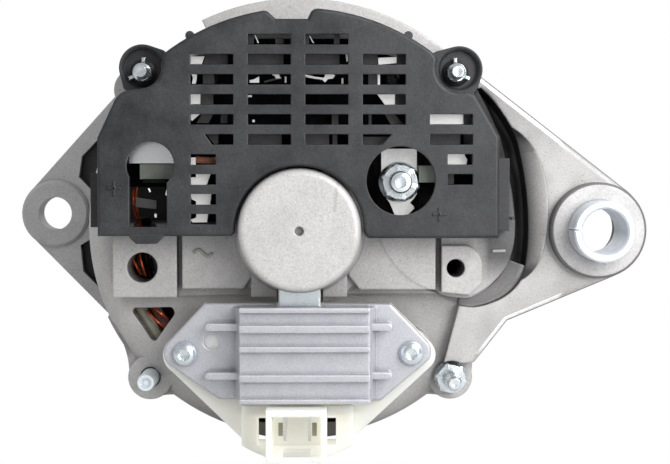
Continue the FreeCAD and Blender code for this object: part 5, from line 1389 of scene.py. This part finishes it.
@dataclass
class Rectifier:
    """Terminals, leads, and strap-shaped sheets with painted light and painted shade that show in the slots
    and windows of the cover.
    """

    stud: Point = (26.9, 12.8)
    stud_radius: float = 3.0
    parts: Hardware = field(default_factory=lambda: Hardware(1.0, 0.4))
    strip: tuple[Point, ...] = (
        (22.1, 21.8), (22.1, 10.4), (23.6, 8.3), (24.4, 7.2), (24.9, 6.0), (25.9, 3.6), (29.2, 3.6),
        (29.7, 4.3), (31.0, 5.6), (30.9, 6.2), (29.9, 7.2), (31.0, 8.4), (31.7, 9.6), (31.7, 21.8))
    window_shade_block: tuple[Point, ...] = ((-43.7, 8.8), (-38.1, 7.9), (-38.1, 5.6), (-43.7, 6.2))
    shade_sheet: tuple[Point, ...] = ((-30, 20), (45, 20), (45, 29), (38, 38), (28, 46), (14, 52), (-14, 52),
                                  (-28, 46), (-30, 44))
    slot_wire: tuple[Place, ...] = ((-27.8, 124.2, 18.8), (-25.4, 124.4, 18.6), (-22.6, 124.4, 18.4),
                                    (-20.0, 122.0, 19.0))
    strands: tuple[tuple[Place, ...], ...] = (
        ((-44.2, 108.5, 15.5), (-45.0, 116.0, 12.0), (-45.1, 119.5, 8.4), (-44.9, 117.5, 4.6),
         (-44.6, 110.0, 0.6)),
        ((-43.6, 107.0, 15.0), (-44.4, 113.0, 11.6), (-44.5, 116.5, 8.0), (-44.4, 114.0, 4.4),
         (-44.2, 108.0, 0.8)),
        ((-47.4, 103.5, -7.2), (-46.9, 106.0, -8.3), (-45.2, 106.0, -11.9), (-44.6, 103.5, -13.2)),
        ((-45.2, 103.5, -6.0), (-44.8, 106.0, -7.1), (-44.35, 106.0, -9.9), (-43.2, 105.0, -13.4)),
        ((-43.6, 98.0, -23.9), (-42.6, 100.0, -24.9), (-39.05, 100.0, -28.2), (-38.0, 98.0, -29.2)),
        ((-41.7, 98.0, -22.8), (-40.7, 100.0, -23.6), (-38.7, 100.0, -25.2), (-37.7, 98.0, -26.0)))

    def output_terminal(self) -> None:
        """The output stud with its flange nut on a waisted strip."""
        forge = Forge()
        self.parts.hexagon(forge, 9.0, 110.0, 114.0, self.stud)
        self.parts.thread(forge, self.stud_radius, 113.8, 127.9, self.stud)
        forge.lathe([(0, 127.0), (2.85, 127.0), (2.85, 127.9), (2.6, 128.3), (2.0, 128.5), (1.5, 128.55),
                     (1.2, 128.3), (0, 128.2)], self.stud, 40)
        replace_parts(forge.piece("output_stud_cut", ZINC, HOUSING), "output_stud")
        forge = Forge()
        forge.lathe([(3.0, 118.5), (5.5, 118.5), (5.55, 118.9), (5.3, 119.4), (4.6, 120.1), (3.0, 120.1),
                     (3.0, 118.5)], self.stud, 56)
        self.parts.hexagon(forge, 9.4, 119.6, 124.7, self.stud, 2.8, 0.244)
        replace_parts(forge.piece("output_nut_cut", ZINC, HOUSING), "output_nut")
        forge = Forge()
        forge.prism(self.strip, 117.0, 118.5)
        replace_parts(forge.piece("output_strip_cut", STRIP, HOUSING), "output_strip")

    def straps(self) -> None:
        """Sheets close under the slots of the cover: bright ones with painted light, dim and black ones as
        painted shade, and a plain strap in the window.
        """
        for name, finish, panes, glints, front in (
            ("lit_strap_patches", STRAP, BRIGHT_PANES, BRIGHT_GLINTS, 124.4),
            ("shaded_strap_patches", DIM, DIM_PANES, DIM_GLINTS, 124.0),
        ):
            raised(name, finish, [*(pane(*sides) for sides in panes), *glints], front, front + 0.9)
        raised("window_strap", PLATE, [pane(-45.6, -31.6, 24.6, 17.8)], 122.0, 123.2)
        # A black block low in the left window: painted shade.
        raised("window_shade_block", BLACK, [self.window_shade_block], 123.6, 124.4)
        # A near black sheet behind the upper slots: painted shade.
        raised("rectifier_shade_sheet", SHADE_PLATE, [self.shade_sheet], 111.0, 112.0)

    def blocks(self) -> None:
        """Pale moulded blocks beside the two windows."""
        forge = Forge()
        forge.prism(pane(31.9, 37.0, 17.2, 12.7), 118.0, 124.4)
        forge.prism(pane(-42.6, -33.6, 17.6, 13.6), 121.75, 123.6)
        forge.piece("terminal_blocks", BOARD)

    def leads(self) -> None:
        """The enamelled phase wires and the strands that show low in the window."""
        forge = Forge()
        forge.wire(self.slot_wire, 0.95)
        forge.piece("lacquered_wire", LACQUER)
        forge = Forge()
        for points in self.strands:
            forge.wire(points, 0.33)
        forge.piece("phase_wires", STRAND)

    def build(self) -> None:
        """Make the terminals and everything that glints behind the slots."""
        self.output_terminal()
        self.straps()
        self.blocks()
        self.leads()


@dataclass
class RegulatorUnit:
    """Brush springs, latch windows and the opening rims beside the socket of the regulator and brush holder.
    """

    brushes: Point = (114.0, 121.5)
    spring: Point = (-33.0, -25.0)
    windows: tuple[Point, ...] = ((-5.85, -4.6), (3.35, 4.6))

    def springs(self) -> None:
        """The two wound springs that push the brushes up."""
        low, high = self.spring
        for name, depth in zip(("inner", "outer"), self.brushes):
            coil = grown(COIL, GROUND, Steps=18, Turns=6.0, Radius=1.6 * MM, Length=(high - low - 0.6) * MM,
                         Sides=8, Wire=0.28 * MM)
            coil.transform(Matrix.Translation(at(0.0, depth, low + 0.3)))
            made = settle("coil_spring_" + name, coil, GROUND, smooth=60.0)
            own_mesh(made)
            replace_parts(made, "brush_spring_" + name)

    def blade_slots(self) -> None:
        """The latch windows beside the blades on the socket's floor, in a darker copy of the cream finish:
        painted shade.
        """
        outlines = [pane(*sides, -52.5, -56.1) for sides in self.windows]
        raised("latch_windows", SHADOW_CREAM, outlines, 119.3, 119.58)

    def openings(self) -> None:
        """The rim of the casting in the two openings beside the socket, in a dark copy of the cast finish,
        with black sheets at the top: painted shade.
        """
        rims = [[(-12.1, -54.7), (-9.3, -54.7), (-9.3, -58.9), (-12.1, -58.3)],
                [(7.3, -54.7), (10.3, -54.7), (10.3, -58.6), (7.3, -59.0)]]
        shades = [[(-12.1, -52.6), (-9.3, -52.6), (-9.3, -54.9), (-12.1, -54.7)],
                  [(7.3, -52.6), (10.3, -52.6), (10.3, -54.7), (7.3, -54.9)]]
        raised("opening_rims", SHADED_RIM, rims, 103.4, 104.0)
        raised("opening_shades", SHADE_PLATE, shades, 103.4, 104.0)

    def build(self) -> None:
        """Make every piece of the unit."""
        self.springs()
        self.blade_slots()
        self.openings()


@dataclass
class Stator:
    """The crowns of copper wire at both ends of the stack, and an insulating sleeve."""

    slots: int = 36
    layers: int = 8
    wire: float = 0.55
    rise: float = 16.5
    seed: int = 11
    sleeve: tuple[Place, ...] = ((-49.5, 94.5, -17.0), (-46.4, 95.6, -22.4), (-42.4, 96.2, -28.6),
                                 (-38.6, 95.4, -35.0))

    def crown(self, depth: float, direction: float) -> bpy.types.Mesh:
        """One crown.

        Args:
            depth: Depth of the end of the stack.
            direction: 1 for the rear end, -1 for the front end.

        Returns:
            Its mesh.
        """
        forge = Forge()
        for layer in range(self.layers):
            share = layer / (self.layers - 1)
            reach = 0.62 - 0.3 * share
            loops = grown(CROWN, ENAMEL, Count=self.slots, Seed=self.seed + layer, Reach=reach,
                          Inner=(46.4 + 4.6 * share) * MM, Middle=(47.4 + 5.4 * share) * MM,
                          Outer=(50.4 + 1.8 * share) * MM, Rise=(self.rise - 3.5 * abs(share - 0.5)) * MM,
                          Phase=0.37 * layer, Wire=self.wire * MM)
            forge.add_mesh(loops, towards(REARWARD * direction, at(0.0, depth, 0.0)))
        data = bpy.data.meshes.new("crown")
        forge.mesh.to_mesh(data)
        forge.mesh.free()
        return data

    def build(self) -> None:
        """Wind both crowns and lay the sleeve."""
        for name, depth, direction in (("rear_crown", 84.0, 1.0), ("front_crown", 58.0, -1.0)):
            settle(name, self.crown(depth, direction), ENAMEL, smooth=60.0)
        forge = Forge()
        forge.wire(self.sleeve, 1.7)
        forge.piece("lead_sleeve", SLEEVE)


@dataclass
class Rotor:
    """What turns: shaft, nut and spring washer."""

    thread: float = 7.9
    parts: Hardware = field(default_factory=lambda: Hardware(1.5, 1.2))

    def build(self) -> None:
        """Cut the shaft's thread, the nut and the washer."""
        forge = Forge()
        self.parts.thread(forge, self.thread, -24.6, -9.6, (0.0, 0.0))
        forge.lathe([(0, -25.0), (6.2, -25.0), (7.2, -24.2), (7.2, -24.0), (0, -24.0)])
        forge.lathe([(0, -10.0), (8.1, -10.0), (8.5, -9.6), (8.5, 48.0), (10.0, 48.0), (10.0, 94.0),
                     (7.5, 94.0), (7.5, 109.0), (6.5, 109.0), (6.5, 125.2), (5.7, 126.0), (0, 126.0)],
                    segments=72)
        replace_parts(forge.piece("shaft_cut", STEEL, ROTOR), "rotor_shaft")
        forge = Forge()
        self.parts.hexagon(forge, 24.0, -22.0, -12.5, (0.0, 0.0), 7.9)
        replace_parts(forge.piece("pulley_nut_cut", ZINC, ROTOR), "pulley_nut")
        forge = Forge()
        forge.lathe([(11.6, -12.5), (12.2, -12.3), (12.2, -10.2), (11.8, -10.0), (8.6, -10.0), (8.6, -12.5),
                     (11.6, -12.5)], segments=72)
        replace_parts(forge.piece("spring_washer_cut", GROUND, ROTOR), "spring_washer")


@dataclass
class Studio:
    """Floor, backdrop, lamps and the camera of the photograph."""

    floor_height: float = -0.0635
    floor_half: float = 3.0
    lens: float = 82.26
    camera_place: Point = (0.003872, 0.014967)
    camera_distance: float = 0.533
    gaze: Place = (0.0137054, 0.9991892, -0.0378566)
    middle: Place = (0.0, -0.1, 0.0)
    soft_sky: float = 1.1
    mirrored_sky: float = 0.4

    def seen(self, nodes: NodeTree) -> Socket:
        """Tell what the camera sees from what only gives light.

        Args:
            nodes: Takes the nodes.

        Returns:
            1 where the camera looks straight or through something, and else 0.
        """
        ray = nodes.add("ShaderNodeLightPath").outputs
        return nodes.larger(ray["Is Camera Ray"], ray["Is Transmission Ray"])

    def white(self, name: str, shade: float) -> bpy.types.Material:
        """A pale stage material that the camera sees as white.

        Args:
            name: The material's name.
            shade: How light it is in its own right.

        Returns:
            The material.
        """
        made = bpy.data.materials.new(name)
        made.use_nodes = True
        made.node_tree.nodes.clear()
        nodes = NodeTree(made.node_tree)
        paint = nodes.add("ShaderNodeBsdfDiffuse", None, Color=(shade, shade, shade, 1.0))
        glow = nodes.add("ShaderNodeEmission", None, Color=(1.0, 1.0, 1.0, 1.0), Strength=1.0)
        mixed = nodes.add("ShaderNodeMixShader", None, i0=self.seen(nodes), i1=paint.outputs[0],
                          i2=glow.outputs[0])
        nodes.add("ShaderNodeOutputMaterial", None, Surface=mixed.outputs[0])
        return made

    def floor(self) -> None:
        """The flat stage sheet under the object."""
        half, low = self.floor_half, self.floor_height
        data = bpy.data.meshes.new("floor")
        data.from_pydata([(-half, -half, low), (half, -half, low), (half, half, low), (-half, half, low)], [],
                         [(0, 1, 2, 3)])
        data.materials.append(self.white("floor_white", 0.5))
        made = new_object("floor", data)

    def lamp(self, name: str, place: Place, size: float, power: float) -> None:
        """A square soft box that looks at the object.

        Args:
            name: The lamp's name.
            place: Where it stands, in metres.
            size: Width of the box in metres.
            power: Its power in watts.
        """
        data = bpy.data.lights.new(name, "AREA")
        data.size = size
        data.energy = power
        made = new_object(name, data)
        made.location = place
        made.rotation_euler = (Vector(self.middle) - Vector(place)).to_track_quat("-Z", "Y").to_euler()

    def sky(self) -> None:
        """An even white surrounding that lights softly, mirrors weakly and looks white."""
        world = bpy.data.worlds.new("studio")
        bpy.context.scene.world = world
        world.use_nodes = True
        world.node_tree.nodes.clear()
        nodes = NodeTree(world.node_tree)
        mirrored = nodes.add("ShaderNodeLightPath").outputs["Is Glossy Ray"]
        studio = nodes.span(mirrored, (0.0, 1.0), self.soft_sky, self.mirrored_sky)
        strength = nodes.span(self.seen(nodes), (0.0, 1.0), studio, 1.0)
        sky = nodes.add("ShaderNodeBackground", None, Color=(1.0, 1.0, 1.0, 1.0), Strength=strength)
        nodes.add("ShaderNodeOutputWorld", None, Surface=sky.outputs[0])

    def camera(self) -> None:
        """The camera in the photograph's place."""
        data = bpy.data.cameras.new("camera")
        data.lens = self.lens
        data.sensor_width = 36.0
        data.clip_start = 0.01
        camera = new_object("camera", data)
        camera.location = (self.camera_place[0], -self.camera_distance, self.camera_place[1])
        camera.rotation_euler = Vector(self.gaze).to_track_quat("-Z", "Y").to_euler()
        bpy.context.scene.camera = camera

    def build(self) -> None:
        """Set the stage, the lamps and the camera."""
        bpy.context.scene.view_settings.view_transform = "Standard"
        self.floor()
        self.sky()
        self.lamp("key", (0.197, -0.441, 0.070), 0.18, 0.68)
        self.lamp("upper_key", (0.2085, -0.3085, 0.2065), 0.18, 0.80)
        self.lamp("front", (0.1, 0.8, 0.3), 0.6, 1.0)
        self.camera()


def main() -> None:
    """Dress the solids and build every sub-assembly in order."""
    logging.basicConfig(level=logging.INFO, format="%(name)s %(message)s")
    dress_nodes()
    for part in (Castings(), Cover(), Fasteners(), Rectifier(), RegulatorUnit(), Stator(), Rotor(), Studio()):
        part.build()
        log.info("%s is built", type(part).__name__)


if __name__ == "__main__":
    main()
